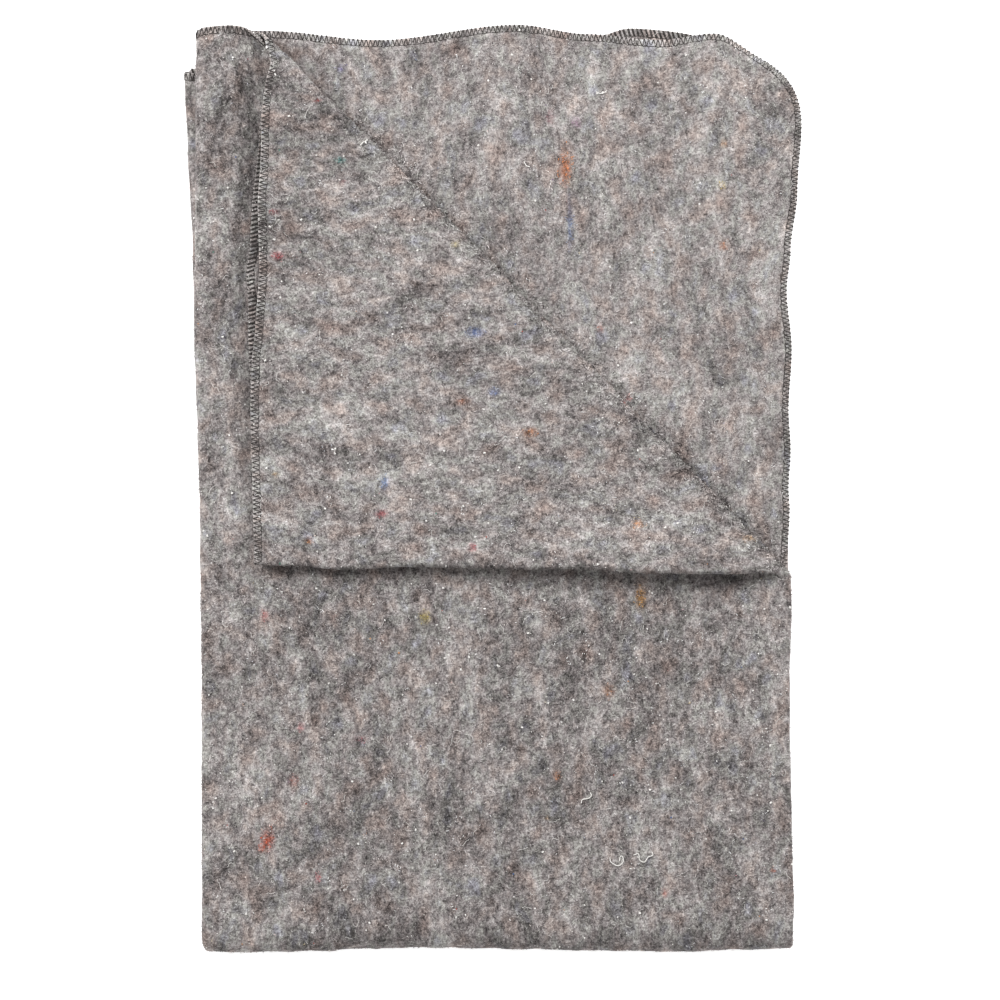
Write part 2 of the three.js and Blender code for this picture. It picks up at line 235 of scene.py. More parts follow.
@dataclass(frozen=True)
class FoldedSheet:
    """The cut sheet and its folds, with the same sizes as the solid.

    The sheet is folded in four along its length, then in half across its width, and the corner of the upper
    two layers is turned down over a diagonal. The solid leaves out what is finer than its folds: the pinch of
    the stitched edge, the bow of the turned-down edge, and the drooping rim with the tuck under it.
    """

    thickness: float = 2.6
    layer_gap: float = 0.5
    edge_pinch: float = 0.26
    pinch_band: tuple[float, float] = (2.0, 9.0)
    corner_radius: float = 72.0
    left: float = -244.5
    right: float = 250.0
    bottom: float = -388.0
    cut_right: float = 248.0
    front_top: float = 382.0
    back_top: float = 351.0
    crest_start: tuple[float, float] = (-189.0, 384.0)
    crest_end: tuple[float, float] = (249.0, -70.0)
    crest_draw: float = 1.5
    crest_arc_radius: float = 6.0
    bottom_draw: float = 1.8
    top_fade: float = 170.0
    side_fade: float = 150.0
    front_left_fade: float = 250.0
    bottom_fade: float = 120.0
    inner_cut_setback: float = 2.5
    corner_left: float = -197.0
    corner_bottom: float = -70.0
    fold_spring: Spring = Spring(38.0, 0.4, 5.0, 60.0)
    fold_rise: Course = Course((-200, 30, 105, 230), (4.5, 7.5, 13, 14))
    edge_spring: Spring = Spring(34.0, 0.8, 0.0, 30.0)
    edge_rise: Course = Course((-70, 60, 170, 240, 330), (2.5, 3, 8, 15, 18))
    outer_top: Course = Course(
        (-250, -216, -186, -162, -112, -8, 15, 45, 124, 190, 250),
        (4, 6.5, 2.5, 0.3, 3.6, 4.8, 6.8, 3.8, 1.3, -1.2, -4),
    )
    second_top: Course = Course(
        (-250, -165, -128, -60, 20, 60, 95, 124, 190, 250),
        (0, 0.4, 3, 0.2, -3.8, -2.6, 0.3, 1.7, -0.9, -4),
    )
    third_top: Course = Course(
        (-250, -186, -95, 20, 80, 138, 182, 214, 260), (2, 2.7, -5, 7.8, 0, -5, 1, -7, 0)
    )
    inner_top: Course = Course((-250, -95, 20, 85, 115, 160, 190, 260), (-2, -9, 3, -2.5, 4.4, 1.5, -4, -9))
    right_fold: Course = Course(
        (-388, -354, -300, -160, -105, -55, -5, 60, 112, 160, 235, 314, 350, 382),
        (1, 2.5, 1, -1.2, 0.5, 0.8, 3.4, 4.6, 3.6, 5.4, 6.2, 10.8, 9, 9),
    )
    right_cut: Course = Course(
        (-388, -60, -18, 0, 33, 66, 117, 167, 200, 250, 310, 382),
        (-4, -0.5, 1.5, 0.6, 2.3, 0.6, 3.2, -1, 2.3, 8, 11.6, 10),
    )
    left_front: Course = Course((-200, -26, 50, 137, 250, 382), (0, 1.5, 3.3, 6.5, 5.5, 5))
    left_back: Course = Course((-200, -26, 137, 200, 285, 351), (0, 1.7, 6.7, 8.3, 12.5, 15.1))
    bottom_fold: Course = Course((-250, -216, -60, 150, 250), (0.5, 1.8, -2.4, 0.6, -1.6))
    back_reach: tuple[float, float, float, float] = (-2.0, 2.0, -4.0, 0.0)
    swells: tuple[tuple[float, float, float, float], ...] = ((0.02, 430, 520, 0.6), (0.015, -360, 430, 2.1))
    side_sag: tuple[float, float] = (0.09, 26.0)
    edge_bow: Course = Course((230, 300, 340, 358, 377, 390), (0, 3, 5, 7.5, 2, 0))
    rim_reach: float = 9.0
    rim_droop: Course = Course((-430, -75, -40, -15, 30, 48, 80, 420), (45, 45, 56, 60, 62, 45, 30, 25))
    inner_tuck: Course = Course((-430, -90, -40, 45, 90, 420), (0, 0, 5, 5, 0, 0))
    tuck_reach: float = 30.0

    @property
    def pitch(self) -> float:
        """Height of one layer with its gap."""
        return self.thickness + self.layer_gap

    def layer_height(self, layer: Layer) -> float:
        """Height of the middle of a layer above the middle of the crosswise fold."""
        return (layer.value + 0.5) * self.pitch

    @property
    def half_height(self) -> float:
        """Height of the middle of the crosswise fold above the floor."""
        return len(Layer) * self.pitch - self.layer_gap / 2

    @property
    def fold_centre(self) -> float:
        """Place along the blanket where the crosswise fold starts to turn."""
        return self.bottom + self.bottom_draw * self.half_height

    @property
    def fold_quarter(self) -> float:
        """Cloth that a quarter turn of the crosswise fold takes up in the outer layer."""
        return math.pi / 2 * self.layer_height(Layer.OUTER) * math.sqrt((1.0 + self.bottom_draw**2) / 2)

    @property
    def fold_line(self) -> float:
        """Place across the flat sheet of the crosswise fold."""
        return self.back_top - self.fold_centre + self.fold_quarter

    @property
    def flat_width(self) -> float:
        """Width of the flat sheet."""
        return self.fold_line + self.fold_quarter + self.front_top - self.fold_centre

    @property
    def flat_length(self) -> float:
        """Length of the flat sheet."""
        return self.section[-1].end

    @property
    def section(self) -> list[SectionPart]:
        """The section across the blanket.

        Returns:
            Runs and bends in the order of the flat sheet, from its first cut edge to its last.
        """
        reach = (self.layer_height(Layer.OUTER) - self.layer_height(Layer.INNER)) / 2
        left = self.left + reach + self.thickness / 2
        right = self.right - self.pitch / 2 - self.thickness / 2
        course = (
            (Layer.THIRD, Layer.THIRD, self.cut_right, left),
            (Layer.THIRD, Layer.SECOND, left, -1.0),
            (Layer.SECOND, Layer.SECOND, left, right),
            (Layer.SECOND, Layer.OUTER, right, 1.0),
            (Layer.OUTER, Layer.OUTER, right, left),
            (Layer.OUTER, Layer.INNER, left, -1.0),
            (Layer.INNER, Layer.INNER, left, self.cut_right),
        )
        parts: list[SectionPart] = []
        start = 0.0
        for first, second, origin, other in course:
            climb = abs(self.layer_height(second) - self.layer_height(first))
            length = math.pi / 2 * climb if climb else abs(other - origin)
            heading = other if climb else math.copysign(1.0, other - origin)
            parts.append(SectionPart(first, second, start, start + length, origin, heading))
            start += length
        return parts

    @property
    def crest_normal(self) -> np.ndarray:
        """Direction across the crest of the diagonal fold.

        Returns:
            A vector of length one, seen from above, towards the corner that is turned down.
        """
        (x0, y0), (x1, y1) = self.crest_start, self.crest_end
        normal = np.array((y0 - y1, x1 - x0))
        return normal / np.linalg.norm(normal)

    def turns_down(self, along: np.ndarray, over: np.ndarray) -> np.ndarray:
        """Returns whether each place of the flat sheet is in the two layers whose corner is turned down."""
        parts = self.section
        return (over > self.fold_line) & (along > parts[2].start) & (along < parts[4].end)

    def past_crest(self, across: np.ndarray, up: np.ndarray) -> np.ndarray:
        """Measures places against the diagonal fold.

        Args:
            across: places across the blanket.
            up: places up it.

        Returns:
            How far each place lies past the start of the fold's turn.
        """
        turn_height = len(Layer) * self.pitch - self.layer_height(Layer.SECOND) + self.thickness / 2
        normal = self.crest_normal
        from_crest = (across - self.crest_start[0]) * normal[0] + (up - self.crest_start[1]) * normal[1]
        return from_crest + self.crest_draw * turn_height

    def half_thickness(self, inward: np.ndarray) -> np.ndarray:
        """Returns half the cloth's thickness in from its cut edge, which the stitches draw in."""
        free = ease(inward, *self.pinch_band)
        return self.thickness / 2 * (1.0 - self.edge_pinch + self.edge_pinch * free)

    def roll(self, along: np.ndarray, offset: np.ndarray) -> Section:
        """Places points of the flat sheet in the section.

        Args:
            along: places along the flat sheet.
            offset: distances from the middle of the cloth towards its face.

        Returns:
            Their places in the section.
        """
        count = len(along)
        place = Section(
            np.zeros(count), np.zeros(count), np.zeros(count, int), np.zeros(count, int), np.zeros(count)
        )
        parts = self.section
        for part in parts:
            here = (along >= part.start) | (part is parts[0])
            here &= (along <= part.end) | (part is parts[-1])
            run, out = along[here] - part.start, offset[here]
            low, high = self.layer_height(part.first), self.layer_height(part.second)
            place.first[here], place.second[here] = part.first.value, part.second.value
            if part.bends:
                share = run / (part.end - part.start)
                rise = math.copysign(1.0, high - low)
                radius = abs(high - low) / 2 + part.heading * rise * out
                place.across[here] = part.origin + part.heading * radius * np.sin(math.pi * share)
                place.height[here] = (low + high) / 2 - rise * radius * np.cos(math.pi * share)
                place.share[here] = share
            else:
                place.across[here] = part.origin + part.heading * run
                place.height[here] = low - part.heading * out
                place.share[here] = 0.0
        return place

    def right_shift(self, place: Section, up: np.ndarray) -> np.ndarray:
        """Finds how the stand-out of each layer's right edge or fold shifts points across.

        Args:
            place: the points' places in the section.
            up: their places up the blanket.

        Returns:
            A shift for each point.
        """
        fold, cut = self.right_fold.read(up), self.right_cut.read(up)
        inner = cut - self.inner_cut_setback
        out = place.blend({Layer.OUTER: fold, Layer.SECOND: fold, Layer.THIRD: cut, Layer.INNER: inner})
        return out * fade(self.right - place.across, self.side_fade)

    def corner_spring(
        self, place: Section, across: np.ndarray, up: np.ndarray, past: np.ndarray
    ) -> np.ndarray:
        """Finds how far points of the turned-down corner spring up, less in the layer that lies under.

        Args:
            place: the points' places in the section.
            across: where they have landed across the blanket.
            up: where they have landed up it.
            past: how far past the diagonal fold they lie on the cloth.

        Returns:
            A height for each point.
        """
        fold = self.fold_rise.read(across) * self.fold_spring.share(up - self.corner_bottom, past)
        cut = self.edge_rise.read(up) * self.edge_spring.share(across - self.corner_left, past)
        under = fold * self.fold_spring.under_share + cut * self.edge_spring.under_share
        rises = {layer: fold + cut for layer in Layer}
        rises[Layer.OUTER] = under
        return place.blend(rises)

    def lay_front(self, place: Section, along: np.ndarray, up: np.ndarray) -> tuple[np.ndarray, ...]:
        """Lays the upper half: wavy cut edges, and the turned-down corner of the upper two layers.

        Args:
            place: the points' places in the section.
            along: their places along the flat sheet.
            up: their places up the blanket.

        Returns:
            Places across, places up and heights.
        """
        tops = (self.inner_top, self.third_top, self.second_top, self.outer_top)
        reach = place.blend({layer: top.read(place.across) for layer, top in zip(Layer, tops)})
        across = place.across + self.right_shift(place, up)
        up = up + reach * fade(self.front_top - up, self.top_fade)
        axis = len(Layer) * self.pitch
        full_turn = math.pi * self.crest_arc_radius
        past = self.past_crest(across, up)
        parts = self.section
        turned = (past > 0) & (along > parts[2].start) & (along < parts[4].end)
        radius = axis - place.height
        angle = np.minimum(past / self.crest_arc_radius, math.pi)
        landed = np.where(past < full_turn, self.crest_draw * radius * np.sin(angle), full_turn - past)
        shift = np.where(turned, landed - past, 0.0)
        across = across + shift * self.crest_normal[0]
        up = up + shift * self.crest_normal[1]
        sprung = axis - radius * np.cos(angle) + self.corner_spring(place, across, up, past)
        height = np.where(turned, sprung, place.height)
        bowed = self.edge_bow.read(up) * self.edge_spring.share(across - self.corner_left, past)
        across = across + np.where(turned, bowed, 0.0)
        across = across - self.left_front.read(up) * fade(across - self.left, self.front_left_fade)
        return across, up, height

    def lay_back(self, place: Section, up: np.ndarray) -> tuple[np.ndarray, ...]:
        """Lays the lower half: its layers end unevenly, and it lies a little turned under the upper half.

        Args:
            place: the points' places in the section.
            up: their places up the blanket.

        Returns:
            Places across, places up and heights.
        """
        reach = place.blend({layer: np.array(self.back_reach[layer.value]) for layer in Layer})
        shift = self.right_shift(place, np.full_like(up, self.fold_centre))
        across = place.across + shift * fade(up - self.fold_centre, self.bottom_fade)
        up = up + reach * fade(self.back_top - up, self.top_fade)
        return across - self.left_back.read(up), up, place.height

    def carry(self, along: np.ndarray, over: np.ndarray, offset: np.ndarray) -> np.ndarray:
        """Carries points of the flat sheet to their folded places.

        Args:
            along: places along the flat sheet.
            over: places across the flat sheet.
            offset: distances from the middle of the cloth towards its face.

        Returns:
            A row of x, y and z for each point, in millimetres.
        """
        place = self.roll(along, offset)
        from_fold = over - self.fold_line
        angle = math.pi / 2 * np.clip(from_fold / self.fold_quarter, -1.0, 1.0)
        up = self.fold_centre + np.maximum(np.abs(from_fold) - self.fold_quarter, 0.0)
        front = self.lay_front(place, along, up)
        back = self.lay_back(place, up)
        x, y, height = (np.where(from_fold > 0, a, b) for a, b in zip(front, back))
        y = y - self.bottom_draw * height * np.cos(angle)
        z = self.half_height + height * np.sin(angle)
        share, reach = self.side_sag
        swell = -share * np.exp(-((np.maximum(self.right - x, 0.0) / reach) ** 2))
        for share, wide, long, start in self.swells:
            swell += share * np.sin(2 * math.pi * (x / wide + y / long) + start)
        sunk = self.bottom_fold.read(x) * fade(y - self.bottom, self.bottom_fade)
        places = np.stack((x, y - sunk, z * (1.0 + swell)), axis=1)
        return places + self.turn_rim(along, over, offset)

    def turn_rim(self, along: np.ndarray, over: np.ndarray, offset: np.ndarray) -> np.ndarray:
        """Finds how the free rim of the third layer turns down, with the inner layer drawn in under it.

        Places round the rim are measured from the middle of its rounded corner: less than nothing down the
        side, more along the top.

        Args:
            along: places along the flat sheet.
            over: places across the flat sheet.
            offset: distances from the middle of the cloth towards its face.

        Returns:
            A shift in x, y and z for each point, in millimetres.
        """
        radius = self.corner_radius
        side = np.minimum(along, self.flat_length - along)
        top = self.flat_width - over
        from_side, from_top = np.maximum(radius - side, 0.0), np.maximum(radius - top, 0.0)
        facing = np.arctan2(from_top, from_side)
        inward = radius - np.hypot(from_side, from_top)
        round_rim = radius * (facing - math.pi / 4)
        round_rim -= np.where(from_top > 0, 0.0, top - radius)
        round_rim += np.where(from_side > 0, 0.0, side - radius)
        run = np.maximum(self.rim_reach - inward, 0.0)
        angle = np.radians(self.rim_droop.read(round_rim))
        bend = angle * np.minimum(run / self.rim_reach, 1.0)
        beyond = np.maximum(run - self.rim_reach, 0.0)
        arc = self.rim_reach / angle
        out = (arc + offset) * np.sin(bend) + beyond * np.cos(angle) - run
        down = (arc + offset) * (1.0 - np.cos(bend)) + beyond * np.sin(angle)
        tuck = self.inner_tuck.read(round_rim) * fade(inward, self.tuck_reach)
        front = over > self.fold_line
        third = front & (along < self.section[0].end)
        inner = front & (along > self.section[-1].start)
        out = np.where(third, out, np.where(inner, -tuck, 0.0))
        down = np.where(third, down, 0.0)
        return np.stack((out * np.cos(facing), out * np.sin(facing), -down), axis=1)


@dataclass(frozen=True)
class CutEdge:
    """The cut outline of the flat sheet, measured round it from the end of its first corner."""

    sheet: FoldedSheet

    @property
    def sides(self) -> tuple[float, float]:
        """Lengths of the straight part of a long and of a short side."""
        corners = 2 * self.sheet.corner_radius
        return self.sheet.flat_length - corners, self.sheet.flat_width - corners

    @property
    def length(self) -> float:
        """Length of the whole outline."""
        return 2 * sum(self.sides) + 2 * math.pi * self.sheet.corner_radius

    def place(self, round_edge: np.ndarray, inward: np.ndarray) -> tuple[np.ndarray, np.ndarray]:
        """Finds places on the flat sheet beside its cut edge.

        Args:
            round_edge: distances round the outline.
            inward: distances in from it.

        Returns:
            Places along and across the flat sheet.
        """
        radius = self.sheet.corner_radius
        long, short = self.sides
        left = np.mod(round_edge, self.length)
        along, over = np.zeros_like(left), np.zeros_like(left)
        corners = ((long, 0.0), (long, short), (0.0, short), (0.0, 0.0))
        start = 0.0
        for step, (side, corner) in enumerate(zip((long, short, long, short), corners)):
            turn = step * math.pi / 2
            here = (left >= start) & (left < start + side + radius * math.pi / 2)
            run = np.minimum(left[here] - start, side) - side
            angle = turn - math.pi / 2 + np.maximum(left[here] - start - side, 0.0) / radius
            reach = radius - inward[here]
            along[here] = radius + corner[0] + run * math.cos(turn) + reach * np.cos(angle)
            over[here] = radius + corner[1] + run * math.sin(turn) + reach * np.sin(angle)
            start += side + radius * math.pi / 2
        return along, over


@dataclass(frozen=True)
class Cloud:
    """Clouds of one size in the cloth's colour: how wide, how drawn out along the nap, and how strong."""

    size: float
    streak: float
    weight: float


@dataclass(frozen=True)
class Melange:
    """Mottled colour of felted recycled wool: clouds of many sizes, small knots of fibre, touches of dye.

    The clouds come one size at a time, because the real cloth is as uneven in its finest grains as in its
    broad clouds. The finest is drawn at 0.8 mm, coarser than a single fibre, so that it shows.
    """

    clouds: tuple[Cloud, ...] = (
        Cloud(60.0, 2.2, 0.22),
        Cloud(27.0, 2.2, 0.28),
        Cloud(13.0, 2.0, 0.36),
        Cloud(6.5, 1.5, 0.41),
        Cloud(3.4, 1.2, 0.50),
        Cloud(1.7, 1.0, 0.58),
        Cloud(0.8, 1.0, 0.52),
    )
    cloud_shift: float = 0.37
    lot_tone: tuple[tuple[float, float], ...] = (
        (0.0, 0.565),
        (0.2, 0.535),
        (0.487, 0.525),
        (0.977, 0.52),
        (1.1, 0.48),
        (1.38, 0.48),
        (1.44, 0.505),
        (2.0, 0.49),
    )
    lot_contrast: tuple[tuple[float, float], ...] = ((0.0, 0.88), (0.487, 0.88), (0.5, 1.0), (2.0, 0.99))
    # Painted light: the wool of the stitched band is drawn lighter, standing in for light falling on the
    # stitched edge.
    stitched_painted_light: float = 0.13
    tones: tuple[tuple[float, str], ...] = (
        (0.0, "#2e2b2b"),
        (0.25, "#5b5656"),
        (0.5, "#8b8585"),
        (0.75, "#b7b2b1"),
        (1.0, "#e3dede"),
    )
    tint_size: float = 17.0
    tint_streak: float = 1.3
    tint_detail: float = 3.0
    tints: tuple[tuple[float, str], ...] = (
        (0.28, "#ebf0fb"),
        (0.42, "#f4f8f2"),
        (0.5, "#fbfaf9"),
        (0.6, "#fdf6f0"),
        (0.74, "#fdece3"),
    )
    stain_size: float = 3.0
    stain_detail: float = 2.0
    stain_range: tuple[float, float] = (0.24, 0.5)
    knot_spacing: float = 6.0
    knot_radius: float = 0.85
    knots: tuple[tuple[float, str], ...] = (
        (0.0, "#ece9e6"),
        (0.8, "#9c4a40"),
        (0.85, "#4f6288"),
        (0.9, "#b98150"),
        (0.94, "#5d7f74"),
        (0.97, "#77607f"),
    )
    knot_share: float = 0.16

    def cloud(
        self, tree: bpy.types.NodeTree, size: float, streak: float = 1.0, detail: float = 0.0
    ) -> bpy.types.NodeSocket:
        """Adds clouds of one size on the flat sheet.

        Args:
            tree: the material's tree.
            size: width of a cloud.
            streak: how many times longer it is along the nap.
            detail: how many finer sizes it also has.

        Returns:
            A value about a half.
        """
        flat = add_node(tree, "ShaderNodeAttribute", attribute_name="flat_place")
        drawn = add_node(
            tree,
            "ShaderNodeMapping",
            {
                "Scale": (1.0, 1.0 / streak, 1.0),
                "Rotation": (0.0, 0.0, size),
                "Location": (size, self.cloud_shift * size, 0.0),
            },
            {"Vector": flat.outputs["Vector"]},
        )
        noise = add_node(
            tree,
            "ShaderNodeTexNoise",
            {"Scale": 1.0 / (size * MM), "Detail": detail},
            {"Vector": drawn.outputs["Vector"]},
        )
        return noise.outputs["Fac"]

    def along_sheet(
        self, tree: bpy.types.NodeTree, stops: tuple[tuple[float, float], ...]
    ) -> bpy.types.NodeSocket:
        """Adds a value that changes along the flat sheet.

        Args:
            tree: the material's tree.
            stops: places along the sheet in metres, and the values there.

        Returns:
            The value.
        """
        flat = add_node(tree, "ShaderNodeAttribute", attribute_name="flat_place")
        along = add_node(tree, "ShaderNodeSeparateXYZ", None, {"Vector": flat.outputs["Vector"]})
        span = stops[-1][0]
        share = add_node(tree, "ShaderNodeMath", {1: span}, {0: along.outputs["X"]}, operation="DIVIDE")
        curve = add_node(tree, "ShaderNodeFloatCurve", None, {"Value": share.outputs["Value"]})
        points = curve.mapping.curves[0].points
        while len(points) < len(stops):
            points.new(0.5, 0.5)
        for point, (place, value) in zip(points, stops):
            point.location = (place / span, value)
            point.handle_type = "VECTOR"
        curve.mapping.update()
        return curve.outputs["Value"]

    def tone(self, tree: bpy.types.NodeTree) -> bpy.types.NodeSocket:
        """Adds the lightness of the cloth at each place of the flat sheet, with painted light in the stitched
        band and along the diagonal fold, and painted shade in some spots.

        Args:
            tree: the material's tree.

        Returns:
            A tone from zero, darkest, to one.
        """
        stitched = add_node(tree, "ShaderNodeAttribute", attribute_name="stitched")
        # Painted light in the stitched band, then the spots with their painted shade and the painted light
        # along the diagonal fold.
        lot = add_node(
            tree,
            "ShaderNodeMath",
            {1: self.stitched_painted_light},
            {0: stitched.outputs["Fac"], 2: self.along_sheet(tree, self.lot_tone)},
            operation="MULTIPLY_ADD",
        )
        shift = add_node(tree, "ShaderNodeAttribute", attribute_name="tone_shift")
        placed = add_node(
            tree,
            "ShaderNodeMath",
            None,
            {0: lot.outputs["Value"], 1: shift.outputs["Fac"]},
            operation="ADD",
        )
        contrast = self.along_sheet(tree, self.lot_contrast)
        total = placed.outputs["Value"]
        for cloud in self.clouds:
            level = add_node(
                tree,
                "ShaderNodeMath",
                {1: cloud.weight, 2: -cloud.weight / 2},
                {0: self.cloud(tree, cloud.size, cloud.streak)},
                operation="MULTIPLY_ADD",
            )
            total = add_node(
                tree,
                "ShaderNodeMath",
                None,
                {0: level.outputs["Value"], 1: contrast, 2: total},
                operation="MULTIPLY_ADD",
            ).outputs["Value"]
        return total

    def colour(self, tree: bpy.types.NodeTree, tone: bpy.types.NodeSocket) -> bpy.types.NodeSocket:
        """Adds the colour for a tone, with faint tints and the touches of dye.

        Args:
            tree: the material's tree.
            tone: lightness from zero to one.

        Returns:
            The colour.
        """
        grey = add_node(tree, "ShaderNodeValToRGB", None, {"Fac": tone})
        paint_ramp(grey, self.tones)
        faint = self.cloud(tree, self.tint_size, self.tint_streak, self.tint_detail)
        tint = add_node(tree, "ShaderNodeValToRGB", None, {"Fac": faint})
        paint_ramp(tint, self.tints)
        tinted = add_node(
            tree,
            "ShaderNodeMix",
            {0: 1.0},
            {6: grey.outputs["Color"], 7: tint.outputs["Color"]},
            data_type="RGBA",
            blend_type="MULTIPLY",
        )
        stain = add_node(tree, "ShaderNodeAttribute", attribute_name="stain")
        dye = add_node(tree, "ShaderNodeAttribute", attribute_name="dye")
        low, high = self.stain_range
        patches = self.cloud(tree, self.stain_size, detail=self.stain_detail)
        patchy = add_node(
            tree,
            "ShaderNodeMapRange",
            {"From Min": low, "From Max": high},
            {"Value": patches, "To Max": stain.outputs["Fac"]},
        )
        stained = add_node(
            tree,
            "ShaderNodeMix",
            None,
            {0: patchy.outputs["Result"], 6: tinted.outputs[2], 7: dye.outputs["Color"]},
            data_type="RGBA",
            blend_type="COLOR",
        )
        return stained.outputs[2]

    def knotted(self, tree: bpy.types.NodeTree, colour: bpy.types.NodeSocket) -> bpy.types.NodeSocket:
        """Adds the small white and coloured knots of fibre that lie in the cloth's face.

        Args:
            tree: the material's tree.
            colour: the cloth's colour.

        Returns:
            The colour with the knots.
        """
        flat = add_node(tree, "ShaderNodeAttribute", attribute_name="flat_place")
        cells = add_node(
            tree,
            "ShaderNodeTexVoronoi",
            {"Scale": 1.0 / (self.knot_spacing * MM)},
            {"Vector": flat.outputs["Vector"]},
        )
        own = add_node(tree, "ShaderNodeSeparateColor", None, {"Color": cells.outputs["Color"]})
        reach = self.knot_radius / self.knot_spacing
        size = add_node(
            tree,
            "ShaderNodeMapRange",
            {"From Min": 1.0 - self.knot_share, "To Min": 0.0, "To Max": reach},
            {"Value": own.outputs["Red"]},
        )
        inside = add_node(
            tree,
            "ShaderNodeMath",
            None,
            {0: cells.outputs["Distance"], 1: size.outputs["Result"]},
            operation="LESS_THAN",
        )
        hue = add_node(tree, "ShaderNodeValToRGB", None, {"Fac": own.outputs["Green"]})
        hue.color_ramp.interpolation = "CONSTANT"
        paint_ramp(hue, self.knots)
        laid = add_node(
            tree,
            "ShaderNodeMix",
            None,
            {0: inside.outputs["Value"], 6: colour, 7: hue.outputs["Color"]},
            data_type="RGBA",
        )
        return laid.outputs[2]


@dataclass(frozen=True)
class Finish:
    """What the finishes share: the plain values of their shaders."""

    roughness: float = 0.9
    specular: float = 0.2

    def start(self, name: str) -> tuple[bpy.types.Material, bpy.types.Node]:
        """Starts a material with the plain values on its shader.

        Args:
            name: what the material is.

        Returns:
            The material and its shader.
        """
        material = bpy.data.materials.new(name)
        material.use_nodes = True
        shader = material.node_tree.nodes["Principled BSDF"]
        shader.inputs["Roughness"].default_value = self.roughness
        shader.inputs["Specular IOR Level"].default_value = self.specular
        return material, shader


@dataclass(frozen=True)
class FeltedWool(Finish):
    """Felted recycled wool, milled and brushed: matt, mottled grey, with a short bloom of fibre ends."""

    melange: Melange = Melange()
    roughness: float = 0.95
    sheen: float = 0.12
    relief_size: float = 1.9
    relief_detail: float = 2.0
    relief_depth: float = 0.6
    relief_strength: float = 0.9

    def make(self) -> bpy.types.Material:
        """Makes the material, with a low relief of its own.

        Returns:
            The material.
        """
        material, shader = self.start("felted_recycled_wool")
        tree = material.node_tree
        shader.inputs["Sheen Weight"].default_value = self.sheen
        colour = self.melange.colour(tree, self.melange.tone(tree))
        tree.links.new(self.melange.knotted(tree, colour), shader.inputs["Base Color"])
        bump = add_node(
            tree,
            "ShaderNodeBump",
            {"Strength": self.relief_strength, "Distance": self.relief_depth * MM},
            {"Height": self.melange.cloud(tree, self.relief_size, detail=self.relief_detail)},
        )
        tree.links.new(bump.outputs["Normal"], shader.inputs["Normal"])
        return material


@dataclass(frozen=True)
class WoolFibre(Finish):
    """Loose wool fibre of the nap: each one a little lighter or darker than the cloth at its root."""

    melange: Melange = Melange()
    spread: float = 0.7
    lift: float = 0.02

    def make(self) -> bpy.types.Material:
        """Makes the material, which reads each fibre's own shade.

        Returns:
            The material.
        """
        material, shader = self.start("loose_wool_fibre")
        tree = material.node_tree
        shade = add_node(tree, "ShaderNodeAttribute", attribute_name="shade")
        apart = add_node(
            tree,
            "ShaderNodeMath",
            {1: self.spread, 2: self.lift - self.spread / 2},
            {0: shade.outputs["Fac"]},
            operation="MULTIPLY_ADD",
        )
        tone = add_node(
            tree,
            "ShaderNodeMath",
            None,
            {0: self.melange.tone(tree), 1: apart.outputs["Value"]},
            operation="ADD",
        )
        tree.links.new(self.melange.colour(tree, tone.outputs["Value"]), shader.inputs["Base Color"])
        return material


@dataclass(frozen=True)
class DyedFibre(Finish):
    """Dyed fibre left from the reclaimed yarns: small touches of colour in the grey, matt as the wool."""

    def make(self) -> bpy.types.Material:
        """Makes the material, which reads each fibre's own dye.

        Returns:
            The material.
        """
        material, shader = self.start("dyed_fibre")
        tree = material.node_tree
        dye = add_node(tree, "ShaderNodeAttribute", attribute_name="dye")
        tree.links.new(dye.outputs["Color"], shader.inputs["Base Color"])
        return material


@dataclass(frozen=True)
class WhiteLint(Finish):
    """Loose white threads of other fibre caught in the wool: paler than anything round them, and dull."""

    colour: str = "#efece8"
    roughness: float = 0.85

    def make(self) -> bpy.types.Material:
        """Makes the material, one plain colour because a thread is too fine to show more.

        Returns:
            The material.
        """
        material, shader = self.start("white_lint")
        shader.inputs["Base Color"].default_value = linear_colour(self.colour)
        return material


@dataclass(frozen=True)
class OverlockYarn(Finish):
    """Spun overlock thread, dyed charcoal: dark and dull, with light and dark turns along its twist, the
    light ones painted glints.
    """

    dark: str = "#1f1d1c"
    # The light colour is a painted glint on the turns of the twist.
    light: str = "#524d4a"
    turn: float = 1.1
    turn_detail: float = 1.0
    twist_depth: float = 0.15
    twist_strength: float = 0.6
    roughness: float = 0.8
    specular: float = 0.25

    def make(self) -> bpy.types.Material:
        """Makes the material, its turns of twist with their painted glints drawn at 1.1 mm, coarser than real
        so that they show.

        Returns:
            The material.
        """
        material, shader = self.start("overlock_thread")
        tree = material.node_tree
        place = add_node(tree, "ShaderNodeTexCoord")
        turns = add_node(
            tree,
            "ShaderNodeTexNoise",
            {"Scale": 1.0 / (self.turn * MM), "Detail": self.turn_detail},
            {"Vector": place.outputs["Object"]},
        )
        ramp = add_node(tree, "ShaderNodeValToRGB", None, {"Fac": turns.outputs["Fac"]})
        paint_ramp(ramp, tuple(zip(NOISE_RANGE, (self.dark, self.light))))
        tree.links.new(ramp.outputs["Color"], shader.inputs["Base Color"])
        bump = add_node(
            tree,
            "ShaderNodeBump",
            {"Strength": self.twist_strength, "Distance": self.twist_depth * MM},
            {"Height": turns.outputs["Fac"]},
        )
        tree.links.new(bump.outputs["Normal"], shader.inputs["Normal"])
        return material


